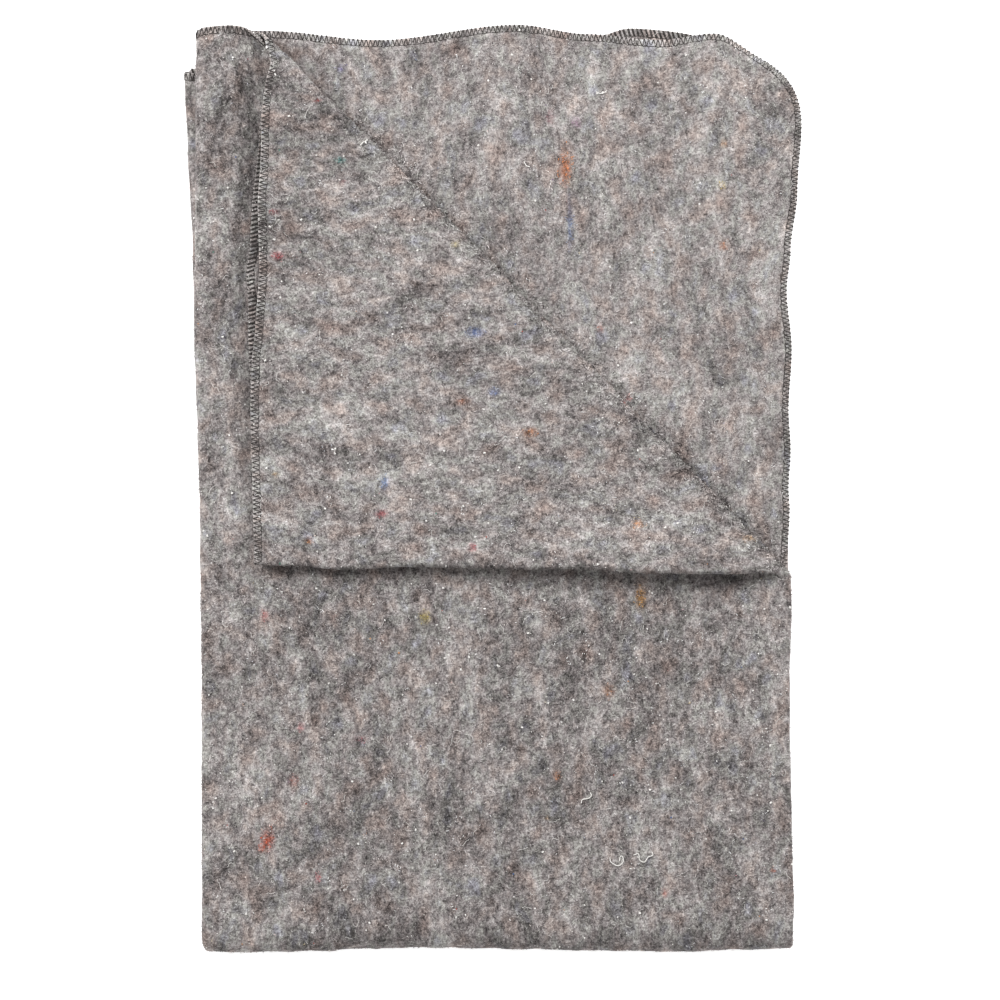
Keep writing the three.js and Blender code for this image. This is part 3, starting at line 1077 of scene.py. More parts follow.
@dataclass(frozen=True)
class StudioPaper(Finish):
    """Matt white paper, pale and even, with only a trace of grain."""

    dark: str = "#f3f3f3"
    light: str = "#f8f8f8"
    grain: float = 6.0
    glow: float = 0.75
    roughness: float = 1.0
    specular: float = 0.0

    def make(self) -> bpy.types.Material:
        """Makes the material, lit a little from below as on a light table.

        Returns:
            The material.
        """
        material, shader = self.start("studio_paper")
        tree = material.node_tree
        shader.inputs["Emission Color"].default_value = linear_colour(self.light)
        shader.inputs["Emission Strength"].default_value = self.glow
        place = add_node(tree, "ShaderNodeTexCoord")
        grain = add_node(
            tree,
            "ShaderNodeTexNoise",
            {"Scale": 1.0 / (self.grain * MM)},
            {"Vector": place.outputs["Object"]},
        )
        ramp = add_node(tree, "ShaderNodeValToRGB", None, {"Fac": grain.outputs["Fac"]})
        paint_ramp(ramp, tuple(zip(NOISE_RANGE, (self.dark, self.light))))
        tree.links.new(ramp.outputs["Color"], shader.inputs["Base Color"])
        return material


def link_object(name: str, mesh: bpy.types.Mesh) -> bpy.types.Object:
    """Puts a mesh in the scene as an object at the origin.

    Args:
        name: the object's name.
        mesh: its mesh.

    Returns:
        The new object.
    """
    piece = bpy.data.objects.new(name, mesh)
    bpy.context.scene.collection.objects.link(piece)
    return piece


def write_attribute(mesh: bpy.types.Mesh, name: str, kind: str, values: np.ndarray) -> None:
    """Gives every vertex of a mesh a value.

    Args:
        mesh: the mesh.
        name: the attribute's name.
        kind: its data type, FLOAT, FLOAT_VECTOR or FLOAT_COLOR.
        values: a row for each vertex.
    """
    attribute = mesh.attributes.new(name, kind, "POINT")
    key = {"FLOAT": "value", "FLOAT_VECTOR": "vector", "FLOAT_COLOR": "color"}[kind]
    attribute.data.foreach_set(key, np.ascontiguousarray(values, dtype=np.float32).ravel())


def grow(
    host: bpy.types.Object, tree: bpy.types.NodeTree, sizes: dict[str, Any], name: str
) -> bpy.types.Object:
    """Runs a Geometry Nodes tree on an object and keeps the result as a plain mesh.

    Args:
        host: the object that the tree works on.
        tree: the tree.
        sizes: values for the tree's named inputs.
        name: the new piece's name.

    Returns:
        The new piece.
    """
    modifier = host.modifiers.new("grow", "NODES")
    modifier.node_group = tree
    for item in tree.interface.items_tree:
        if item.name in sizes:
            modifier[item.identifier] = sizes[item.name]
    graph = bpy.context.evaluated_depsgraph_get()
    mesh = bpy.data.meshes.new_from_object(host.evaluated_get(graph), depsgraph=graph)
    host.modifiers.remove(modifier)
    mesh.name = name
    return link_object(name, mesh)


def triangle_count(piece: bpy.types.Object) -> int:
    """Returns how many triangles a piece has."""
    piece.data.calc_loop_triangles()
    return len(piece.data.loop_triangles)


@dataclass(frozen=True)
class Crease:
    """A soft trough across the cloth, between two places seen from above."""

    start: tuple[float, float]
    end: tuple[float, float]
    depth: float
    width: float

    def drop(self, across: np.ndarray, up: np.ndarray) -> np.ndarray:
        """Sinks places near the crease.

        Args:
            across: places across the blanket.
            up: places up it.

        Returns:
            How far each place sinks.
        """
        start, end = np.array(self.start), np.array(self.end)
        run = end - start
        share = ((across - start[0]) * run[0] + (up - start[1]) * run[1]) / (run @ run)
        held = np.clip(share, 0.0, 1.0)
        beside = np.hypot(across - start[0] - held * run[0], up - start[1] - held * run[1])
        return self.depth * np.exp(-((beside / self.width) ** 2))


@dataclass(frozen=True)
class Spot:
    """A soft oval seen from above: its middle, its half sizes and its strength."""

    across: float
    up: float
    half_width: float
    half_length: float
    strength: float

    def near(self, across: np.ndarray, up: np.ndarray) -> np.ndarray:
        """Measures the spot at places.

        Args:
            across: places across the blanket.
            up: places up it.

        Returns:
            Its strength at each place.
        """
        beside = (across - self.across) / self.half_width
        beyond = (up - self.up) / self.half_length
        return self.strength * np.exp(-(beside**2 + beyond**2))


@dataclass
class Cloth:
    """The blanket itself: one closed sheet on its folds, finer where it shows."""

    sheet: FoldedSheet
    cell: float = 14.0
    fine_cell: float = 5.0
    fine_cuts: int = 3
    tight_steps: int = 6
    wide_steps: int = 8
    crosswise_steps: int = 12
    edge_steps: tuple[float, ...] = (0.0, 0.5, 2.0, 5.5, 9.5, 16.0, 24.0, 34.0, 46.0, 59.0, 72.0)
    end_steps: int = 5
    end_clearance: float = 2.0
    corner_blend: float = 110.0
    rim_bulge: float = 0.6
    lump_sizes: tuple[float, ...] = (34.0, 15.0)
    lump_heights: tuple[float, ...] = (0.16, 0.1)
    lump_waves: int = 14
    lump_spread: tuple[float, float] = (0.7, 1.5)
    lump_seed: int = 11
    lump_hold: tuple[float, float] = (7.0, 16.0)
    face_level: float = 0.3
    back_shift: float = 5000.0
    sight: float = 60.0
    sight_start: float = 0.1
    upright_limit: float = 0.9
    open_limit: float = 0.3
    stitch_band: tuple[float, float] = (3.6, 6.4)
    stitch_thinning: float = 0.75
    nap_height: tuple[float, float] = (3.5, 7.0)
    nap_step: float = 1.0
    crest_margin: float = 22.0
    crest_nose: float = 8.8
    crest_reach: float = 6.5
    crest_tousle: float = 1.8
    crest_sharp: tuple[float, float] = (298.0, 326.0)
    sharp_thinning: float = 0.9
    # Painted highlight on the ridge of the diagonal fold near its upper end, and painted light that lightens
    # the shade along the rest of it.
    ridge_painted_highlight: float = 0.06
    crest_painted_light: float = 0.03
    crest_bridges: tuple[Spot, ...] = (
        Spot(-86.0, 281.0, 42.0, 42.0, 1.6),
        Spot(80.0, 105.0, 55.0, 55.0, 2.5),
    )
    # More painted light over the shade of the diagonal fold where the nap bridges it.
    bridge_painted_light: float = 0.05
    crease_height: float = 18.0
    creases: tuple[Crease, ...] = (
        Crease((200.0, 238.0), (236.0, 190.0), 0.7, 5.0),
        Crease((-65.0, 255.0), (20.0, 168.0), 0.35, 7.0),
    )
    # Spots of the wool's own darker or lighter tone; those marked below are painted shade instead.
    tone_and_shade_spots: tuple[Spot, ...] = (
        # Painted shadow: these two darken the strip beside the raised left edge of the turned-down corner.
        Spot(-228.0, 330.0, 34.0, 75.0, -0.055),
        Spot(-204.0, 340.0, 13.0, 62.0, -0.09),
        # Painted shadow beside the lower left corner of the turned-down corner.
        Spot(-206.0, -66.0, 20.0, 16.0, -0.06),
        Spot(-130.0, 352.0, 28.0, 22.0, -0.1),
        Spot(69.0, -28.0, 24.0, 11.0, -0.1),
        Spot(136.0, -280.0, 16.0, 16.0, -0.11),
        Spot(46.0, -208.0, 16.0, 20.0, -0.08),
        Spot(-120.0, 159.0, 24.0, 17.0, -0.07),
        Spot(-78.0, -288.0, 12.0, 36.0, -0.06),
        Spot(-19.0, 54.0, 18.0, 13.0, -0.06),
        Spot(111.0, 372.0, 20.0, 14.0, -0.06),
        Spot(-168.0, 26.0, 20.0, 15.0, 0.06),
        Spot(32.0, 82.0, 26.0, 13.0, 0.06),
        Spot(123.0, 50.0, 16.0, 14.0, 0.06),
        Spot(-124.0, -156.0, 18.0, 16.0, 0.05),
        Spot(165.0, 134.0, 12.0, 26.0, 0.06),
        Spot(-162.0, 206.0, 22.0, 12.0, 0.06),
        Spot(122.0, 255.0, 30.0, 60.0, 0.05),
        Spot(205.0, 20.0, 36.0, 70.0, -0.04),
        # Painted shade: these last two darken the cloth along the rounded bottom fold.
        Spot(215.0, -372.0, 60.0, 22.0, -0.07),
        Spot(-10.0, -378.0, 120.0, 14.0, -0.05),
    )
    piece: bpy.types.Object | None = field(default=None, init=False)
    flat: np.ndarray | None = field(default=None, init=False)
    open_share: np.ndarray | None = field(default=None, init=False)

    def steps_along(self) -> np.ndarray:
        """Spaces the mesh's columns, closer on the bends and by the cut edge.

        Returns:
            Their places along the flat sheet.
        """
        places: list[float] = []
        for part in self.sheet.section:
            length = part.end - part.start
            count = math.ceil(length / self.cell)
            if part.bends:
                count = self.tight_steps if length < self.cell else self.wide_steps
            places.extend(np.linspace(part.start, part.end, count, endpoint=False))
        length = self.sheet.flat_length
        edge = np.array(self.edge_steps[: self.end_steps])
        clear = edge[-1] + self.end_clearance
        inner = np.array([place for place in places if clear < place < length - clear])
        return np.concatenate((edge, inner, length - edge[::-1]))

    def steps_over(self) -> np.ndarray:
        """Spaces the mesh's rows, closer on the crosswise fold and by the cut edge.

        Returns:
            Their places across the flat sheet.
        """
        sheet = self.sheet
        edge = np.array(self.edge_steps)
        start, end = sheet.fold_line - sheet.fold_quarter, sheet.fold_line + sheet.fold_quarter
        back = np.linspace(edge[-1], start, math.ceil((start - edge[-1]) / self.cell), endpoint=False)
        turn = np.linspace(start, end, self.crosswise_steps, endpoint=False)
        last = sheet.flat_width - edge[-1]
        front = np.linspace(end, last, math.ceil((last - end) / self.cell), endpoint=False)
        return np.concatenate((edge[:-1], back, turn, front, sheet.flat_width - edge[::-1]))

    def flat_mesh(self) -> bpy.types.Mesh:
        """Makes the sheet before folding.

        Returns:
            Its face, its back and a rounded rim.
        """
        sheet = self.sheet
        along, over = np.meshgrid(self.steps_along(), self.steps_over(), indexing="ij")
        radius = sheet.corner_radius
        depth = radius - np.minimum(np.minimum(over, sheet.flat_width - over), radius)
        inset = radius - np.sqrt(radius**2 - depth**2)
        low = np.minimum(along / self.corner_blend, 1.0)
        high = np.minimum((sheet.flat_length - along) / self.corner_blend, 1.0)
        along = along + inset * (1.0 - low) - inset * (1.0 - high)
        rows, columns = along.shape
        number = np.arange(rows * columns).reshape(rows, columns)
        ring = np.concatenate((number[:, 0], number[-1, 1:], number[-2::-1, -1], number[0, -2:0:-1]))
        flat_u, flat_v = along.ravel(), over.ravel()
        half = sheet.half_thickness(self.edge_distance(flat_u, flat_v))
        before, after = np.roll(ring, 1), np.roll(ring, -1)
        run_u, run_v = flat_u[after] - flat_u[before], flat_v[after] - flat_v[before]
        size = np.hypot(run_u, run_v)
        rim_u = flat_u[ring] + self.rim_bulge * run_v / size
        rim_v = flat_v[ring] - self.rim_bulge * run_u / size
        count = len(flat_u)
        points = np.concatenate(
            (
                np.stack((flat_u, flat_v, half), axis=1),
                np.stack((flat_u, flat_v, -half), axis=1),
                np.stack((rim_u, rim_v, np.zeros(len(ring))), axis=1),
            )
        )
        cells = (number[:-1, :-1], number[:-1, 1:], number[1:, 1:], number[1:, :-1])
        quads = np.stack(cells, axis=-1).reshape(-1, 4)
        edge = np.arange(len(ring)) + 2 * count
        upper = np.stack((ring, after, np.roll(edge, -1), edge), axis=1)
        lower = np.stack((edge, np.roll(edge, -1), after + count, ring + count), axis=1)
        faces = np.concatenate((quads, quads[:, ::-1] + count, upper, lower))
        mesh = bpy.data.meshes.new("blanket_cloth")
        mesh.from_pydata(points.tolist(), [], faces.tolist())
        return mesh

    def edge_distance(self, along: np.ndarray, over: np.ndarray) -> np.ndarray:
        """Measures places of the flat sheet from its cut edge.

        Args:
            along: places along the sheet.
            over: places across it.

        Returns:
            How far in from the edge each place lies.
        """
        sheet = self.sheet
        radius = sheet.corner_radius
        side_u = np.minimum(along, sheet.flat_length - along)
        side_v = np.minimum(over, sheet.flat_width - over)
        corner = radius - np.hypot(np.maximum(radius - side_u, 0.0), np.maximum(radius - side_v, 0.0))
        return np.where((side_u < radius) & (side_v < radius), corner, np.minimum(side_u, side_v))

    def open_to_sight(self, points: np.ndarray, polygons: np.ndarray, chosen: np.ndarray) -> np.ndarray:
        """Finds how far each face of the folded sheet lies open.

        Args:
            points: folded places of the vertices, in millimetres.
            polygons: a row of vertex numbers for each face.
            chosen: which faces to look from.

        Returns:
            For each face, the share of the directions in front of it that meet nothing nearby.
        """
        tree = BVHTree.FromPolygons(points.tolist(), polygons.tolist())
        corners = points[polygons]
        normals = np.cross(corners[:, 1] - corners[:, 0], corners[:, 2] - corners[:, 0])
        normals /= np.maximum(np.linalg.norm(normals, axis=1, keepdims=True), TINY)
        other = np.where(np.abs(normals[:, 2:]) < self.upright_limit, (0.0, 0.0, 1.0), (1.0, 0.0, 0.0))
        aside = np.cross(normals, other)
        aside /= np.linalg.norm(aside, axis=1, keepdims=True)
        ahead = np.cross(normals, aside)
        starts = corners.mean(axis=1) + self.sight_start * normals
        shares = np.zeros(len(polygons))
        looks = (normals, normals + aside, normals - aside, normals + ahead, normals - ahead)
        for ways in looks:
            drop = self.sight * ways[:, 2] / np.linalg.norm(ways, axis=1)
            looking = np.flatnonzero(chosen & (starts[:, 2] + drop > 0.0)).tolist()
            for number, start, way in zip(looking, starts[looking].tolist(), ways[looking].tolist()):
                if tree.ray_cast(start, way, self.sight)[0] is None:
                    shares[number] += 1.0 / len(looks)
        return shares

    def build(self) -> None:
        """Makes the folded sheet, finer where it shows, with what the nap and the materials read."""
        mesh = self.flat_mesh()
        points = np.array([vertex.co for vertex in mesh.vertices])
        quads = np.array([face.vertices for face in mesh.polygons])
        folded = self.sheet.carry(*points.T)
        shown = self.open_to_sight(folded, quads, np.ones(len(quads), bool)) > self.open_limit
        bend = np.abs(self.sheet.past_crest(folded[:, 0], folded[:, 1])) < self.crest_margin
        bend &= self.sheet.turns_down(points[:, 0], points[:, 1])
        shown |= bend[quads].any(axis=1)
        solid = bmesh.new()
        solid.from_mesh(mesh)
        solid.faces.ensure_lookup_table()
        mark = solid.faces.layers.int.new("shown")
        edges = set()
        for number in np.flatnonzero(shown):
            solid.faces[number][mark] = 1
            edges.update(edge for edge in solid.faces[number].edges if edge.calc_length() > self.fine_cell)
        long_edges = sorted(edges, key=lambda edge: edge.index)
        bmesh.ops.subdivide_edges(solid, edges=long_edges, cuts=self.fine_cuts, use_grid_fill=True)
        self.flat = np.array([vertex.co for vertex in solid.verts])
        places = self.settle(self.flat)
        for vertex, place in zip(solid.verts, places * MM):
            vertex.co = place
        bmesh.ops.triangulate(solid, faces=solid.faces[:], quad_method="LONG_EDGE")
        shown = np.array([face[mark] for face in solid.faces], bool)
        solid.to_mesh(mesh)
        solid.free()
        mesh.shade_smooth()
        self.mark(mesh, places, shown)
        self.piece = link_object("blanket_cloth", mesh)

    def settle(self, flat: np.ndarray) -> np.ndarray:
        """Folds the sheet with its uneven thickness and soft creases.

        Args:
            flat: places along and across the flat sheet, and offsets from its middle.

        Returns:
            Folded places in millimetres.
        """
        draw = np.random.default_rng(self.lump_seed)
        waves = self.lump_waves
        lumps = np.zeros(len(flat))
        for size, height in zip(self.lump_sizes, self.lump_heights):
            turn = draw.uniform(0, math.pi, waves)
            rate = 2 * math.pi / (size * draw.uniform(*self.lump_spread, waves))
            phase = draw.uniform(0, 2 * math.pi, waves)
            reach = np.outer(flat[:, 0], np.cos(turn)) + np.outer(flat[:, 1], np.sin(turn))
            lumps += height * np.cos(reach * rate + phase).sum(axis=1) / math.sqrt(waves / 2)
        on_face = flat[:, 2] > self.face_level
        held = ease(self.edge_distance(flat[:, 0], flat[:, 1]), *self.lump_hold)
        offset = flat[:, 2] + np.where(on_face, lumps * held, 0.0)
        places = self.sheet.carry(flat[:, 0], flat[:, 1], offset)
        top = on_face & (places[:, 2] > self.crease_height)
        for crease in self.creases:
            places[:, 2] -= np.where(top, crease.drop(places[:, 0], places[:, 1]), 0.0)
        places[:, 2] = np.maximum(places[:, 2], 0.0)
        return places

    def mark(self, mesh: bpy.types.Mesh, places: np.ndarray, shown: np.ndarray) -> None:
        """Writes what the nap and the materials read from the sheet.

        Args:
            mesh: the folded sheet.
            places: its vertices' places, in millimetres.
            shown: which of its faces may lie open.
        """
        count = len(mesh.vertices)
        corners = np.zeros(3 * len(mesh.polygons), np.int32)
        mesh.polygons.foreach_get("vertices", corners)
        shares = self.open_to_sight(places, corners.reshape(-1, 3), shown)
        total, touched = np.zeros(count), np.zeros(count)
        np.add.at(total, corners, np.repeat(shares, 3))
        np.add.at(touched, corners, 1.0)
        self.open_share = total / np.maximum(touched, 1.0)
        behind = np.where(self.flat[:, 2] < -self.face_level, self.back_shift, 0.0)
        flat_place = np.stack((self.flat[:, 0], self.flat[:, 1], behind), axis=1) * MM
        ahead = self.sheet.carry(self.flat[:, 0], self.flat[:, 1] + self.nap_step, self.flat[:, 2])
        here = self.sheet.carry(*self.flat.T)
        inward = self.edge_distance(self.flat[:, 0], self.flat[:, 1])
        stitched = 1.0 - ease(inward, *self.stitch_band)
        lifted = ease(places[:, 2], *self.nap_height)
        # The tone shift holds the spots' own tone and painted shade, and the painted light along the diagonal
        # fold.
        shift = sum(spot.near(places[:, 0], places[:, 1]) for spot in self.tone_and_shade_spots)
        past = self.sheet.past_crest(places[:, 0], places[:, 1])
        by_nose = np.exp(-(((past - self.crest_nose) / self.crest_reach) ** 2))
        sharp = ease(places[:, 1], *self.crest_sharp)
        turned = self.sheet.turns_down(self.flat[:, 0], self.flat[:, 1])
        bridged = sum(spot.near(places[:, 0], places[:, 1]) for spot in self.crest_bridges)
        # Painted light along the nose of the diagonal fold: a painted highlight near its upper end, elsewhere
        # lightening its shade.
        light = self.ridge_painted_highlight * sharp * turned + self.crest_painted_light * (1.0 - sharp)
        shift += (light + self.bridge_painted_light * bridged) * by_nose
        nap_share = self.open_share * lifted * (1.0 - self.stitch_thinning * stitched)
        crest_share = nap_share * by_nose * (1.0 - self.sharp_thinning * sharp)
        nap_share += crest_share * (self.crest_tousle + bridged)
        write_attribute(mesh, "tone_shift", "FLOAT", shift)
        write_attribute(mesh, "flat_place", "FLOAT_VECTOR", flat_place)
        write_attribute(mesh, "nap_way", "FLOAT_VECTOR", ahead - here)
        write_attribute(mesh, "nap_share", "FLOAT", nap_share)
        write_attribute(mesh, "crest_share", "FLOAT", crest_share)
        write_attribute(mesh, "stitched", "FLOAT", stitched)

    def dress(self, finish: FeltedWool) -> None:
        """Gives the sheet its finish and its place in the frame.

        Args:
            finish: the cloth's finish.
        """
        self.piece.data.materials.append(finish.make())
        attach(self.piece, "root")
        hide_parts("blanket")


def start_tree(name: str, inputs: dict[str, str]) -> tuple[bpy.types.NodeTree, bpy.types.Node]:
    """Starts a Geometry Nodes tree that works on a mesh.

    Args:
        name: the tree's name.
        inputs: its named inputs, each with the kind of its socket, besides the mesh and the material.

    Returns:
        The tree, and the node that holds its inputs.
    """
    tree = bpy.data.node_groups.new(name, "GeometryNodeTree")
    kinds = {"Geometry": "Geometry"} | inputs | {"Material": "Material"}
    for socket, kind in kinds.items():
        tree.interface.new_socket(socket, in_out="INPUT", socket_type=f"NodeSocket{kind}")
    tree.interface.new_socket("Geometry", in_out="OUTPUT", socket_type="NodeSocketGeometry")
    return tree, add_node(tree, "NodeGroupInput")


def end_tree(tree: bpy.types.NodeTree, sizes: bpy.types.Node, made: bpy.types.NodeSocket) -> None:
    """Ends a tree: its instances become real and get the material.

    Args:
        tree: the tree.
        sizes: the node that holds its inputs.
        made: what the tree has made.
    """
    whole = add_node(tree, "GeometryNodeRealizeInstances", None, {"Geometry": made})
    dyed = add_node(
        tree,
        "GeometryNodeSetMaterial",
        None,
        {"Geometry": whole.outputs["Geometry"], "Material": sizes.outputs["Material"]},
    )
    add_node(tree, "NodeGroupOutput", None, {"Geometry": dyed.outputs["Geometry"]})


def thread_tree() -> bpy.types.NodeTree:
    """Builds the tree that spins a thread along every path of a mesh.

    Returns:
        The tree.
    """
    tree, sizes = start_tree("spin_thread", {"Radius": "Float", "Sides": "Int"})
    path = add_node(tree, "GeometryNodeMeshToCurve", None, {"Mesh": sizes.outputs["Geometry"]})
    ring = add_node(
        tree,
        "GeometryNodeCurvePrimitiveCircle",
        None,
        {"Resolution": sizes.outputs["Sides"], "Radius": sizes.outputs["Radius"]},
    )
    tube = add_node(
        tree,
        "GeometryNodeCurveToMesh",
        {"Fill Caps": True},
        {"Curve": path.outputs["Curve"], "Profile Curve": ring.outputs["Curve"]},
    )
    smooth = add_node(tree, "GeometryNodeSetShadeSmooth", None, {"Geometry": tube.outputs["Mesh"]})
    end_tree(tree, sizes, smooth.outputs["Geometry"])
    return tree


def spin(
    name: str, paths: list[tuple[np.ndarray, np.ndarray]], tree: bpy.types.NodeTree, sizes: dict[str, Any]
) -> bpy.types.Object:
    """Spins thread along paths and joins it in one piece.

    Args:
        name: the piece's name.
        paths: points in metres and the pairs of them that are joined, for each path.
        tree: the tree that spins the thread.
        sizes: values for the tree's named inputs.

    Returns:
        The new piece.
    """
    places = np.concatenate([points for points, _ in paths])
    starts = np.cumsum([0] + [len(points) for points, _ in paths])
    pairs = np.concatenate([joined + start for (_, joined), start in zip(paths, starts)])
    mesh = bpy.data.meshes.new(f"{name}_path")
    mesh.from_pydata(places.tolist(), pairs.tolist(), [])
    host = link_object(f"{name}_path", mesh)
    piece = grow(host, tree, sizes, name)
    bpy.data.objects.remove(host)
    return piece


@dataclass(frozen=True)
class StitchPoint:
    """Where the thread of a stitch passes: shares of the pitch and of the bite, and its level.

    A level of one lies on the cloth's face, and of minus one on its back.
    """

    step: float
    inward: float
    level: float


@dataclass
class Overlock:
    """Overlock stitching round the cut edge: a zigzag on the face, slanted bars on the back."""

    sheet: FoldedSheet
    pitch: float = 3.6
    bite: float = 5.7
    radius: float = 0.4
    sides: int = 3
    seat: float = 0.6
    unevenness: float = 0.22
    seed: int = 5
    zigzag: tuple[StitchPoint, ...] = (
        StitchPoint(0.08, 1.0, 0.9),
        StitchPoint(0.24, 0.5, 1.0),
        StitchPoint(0.44, 0.03, 1.0),
        StitchPoint(0.5, -0.13, 0.1),
        StitchPoint(0.56, 0.03, 1.0),
        StitchPoint(0.76, 0.5, 1.0),
        StitchPoint(0.92, 1.0, 0.9),
    )
    bars: tuple[StitchPoint, ...] = (
        StitchPoint(0.35, 1.0, -0.9),
        StitchPoint(0.62, 0.5, -1.0),
        StitchPoint(0.88, 0.03, -1.0),
        StitchPoint(1.0, -0.13, -0.1),
        StitchPoint(1.12, 0.03, -1.0),
        StitchPoint(0.87, 0.5, -1.0),
        StitchPoint(0.6, 1.0, -0.9),
    )
    needle_row: tuple[StitchPoint, ...] = (StitchPoint(0.0, 1.03, 0.6), StitchPoint(0.5, 1.05, 0.9))
    back_row: tuple[StitchPoint, ...] = (StitchPoint(0.0, 1.03, -0.7), StitchPoint(0.5, 1.05, -1.0))
    pieces: list[bpy.types.Object] = field(default_factory=list, init=False)

    def lay_path(self, stitch: tuple[StitchPoint, ...], joined: bool) -> tuple[np.ndarray, np.ndarray]:
        """Lays a thread path round the edge of the folded sheet, a little uneven from stitch to stitch.

        Args:
            stitch: the points of one stitch.
            joined: whether each stitch runs on into the next.

        Returns:
            The points in metres, and pairs of them that are joined.
        """
        edge = CutEdge(self.sheet)
        count = round(edge.length / self.pitch)
        pitch = edge.length / count
        draw = np.random.default_rng(self.seed)
        needle, hook, bite = draw.normal(0.0, self.unevenness, (3, count))
        round_edge, inward, level = np.zeros((3, count, len(stitch)))
        for number, point in enumerate(stitch):
            at_needle = min(max(point.inward, 0.0), 1.0)
            own = np.roll(needle, -round(point.step))
            shift = at_needle * own + (1.0 - at_needle) * hook
            round_edge[:, number] = (np.arange(count) + point.step) * pitch + shift
            inward[:, number] = point.inward * self.bite + at_needle * bite
            level[:, number] = point.level
        along, over = edge.place(round_edge.ravel(), inward.ravel())
        half = self.sheet.half_thickness(np.maximum(inward.ravel(), 0.0))
        offset = level.ravel() * (half + self.seat * self.radius)
        places = self.sheet.carry(along, over, offset) * MM
        places[:, 2] = np.maximum(places[:, 2], self.radius * MM)
        order = np.arange(len(places))
        pairs = np.stack((order, np.roll(order, -1)), axis=1)
        if not joined:
            pairs = pairs[np.mod(order, len(stitch)) != len(stitch) - 1]
        return places, pairs

    def build(self, yarn: OverlockYarn) -> None:
        """Makes the stitches of the face and those of the back.

        Args:
            yarn: the thread's finish.
        """
        tree = thread_tree()
        sizes = {"Radius": self.radius * MM, "Sides": self.sides, "Material": yarn.make()}
        runs = {
            "overlock_face": ((self.zigzag, True), (self.needle_row, True)),
            "overlock_back": ((self.bars, False), (self.back_row, True)),
        }
        for name, stitches in runs.items():
            paths = [self.lay_path(stitch, joined) for stitch, joined in stitches]
            self.pieces.append(spin(name, paths, tree, sizes))

    def dress(self) -> None:
        """Gives the stitches their place in the frame."""
        for piece in self.pieces:
            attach(piece, "root")


@dataclass(frozen=True)
class Tuft(Spot):
    """A touch of dyed fibre seen from above, with its dye."""

    dye: str


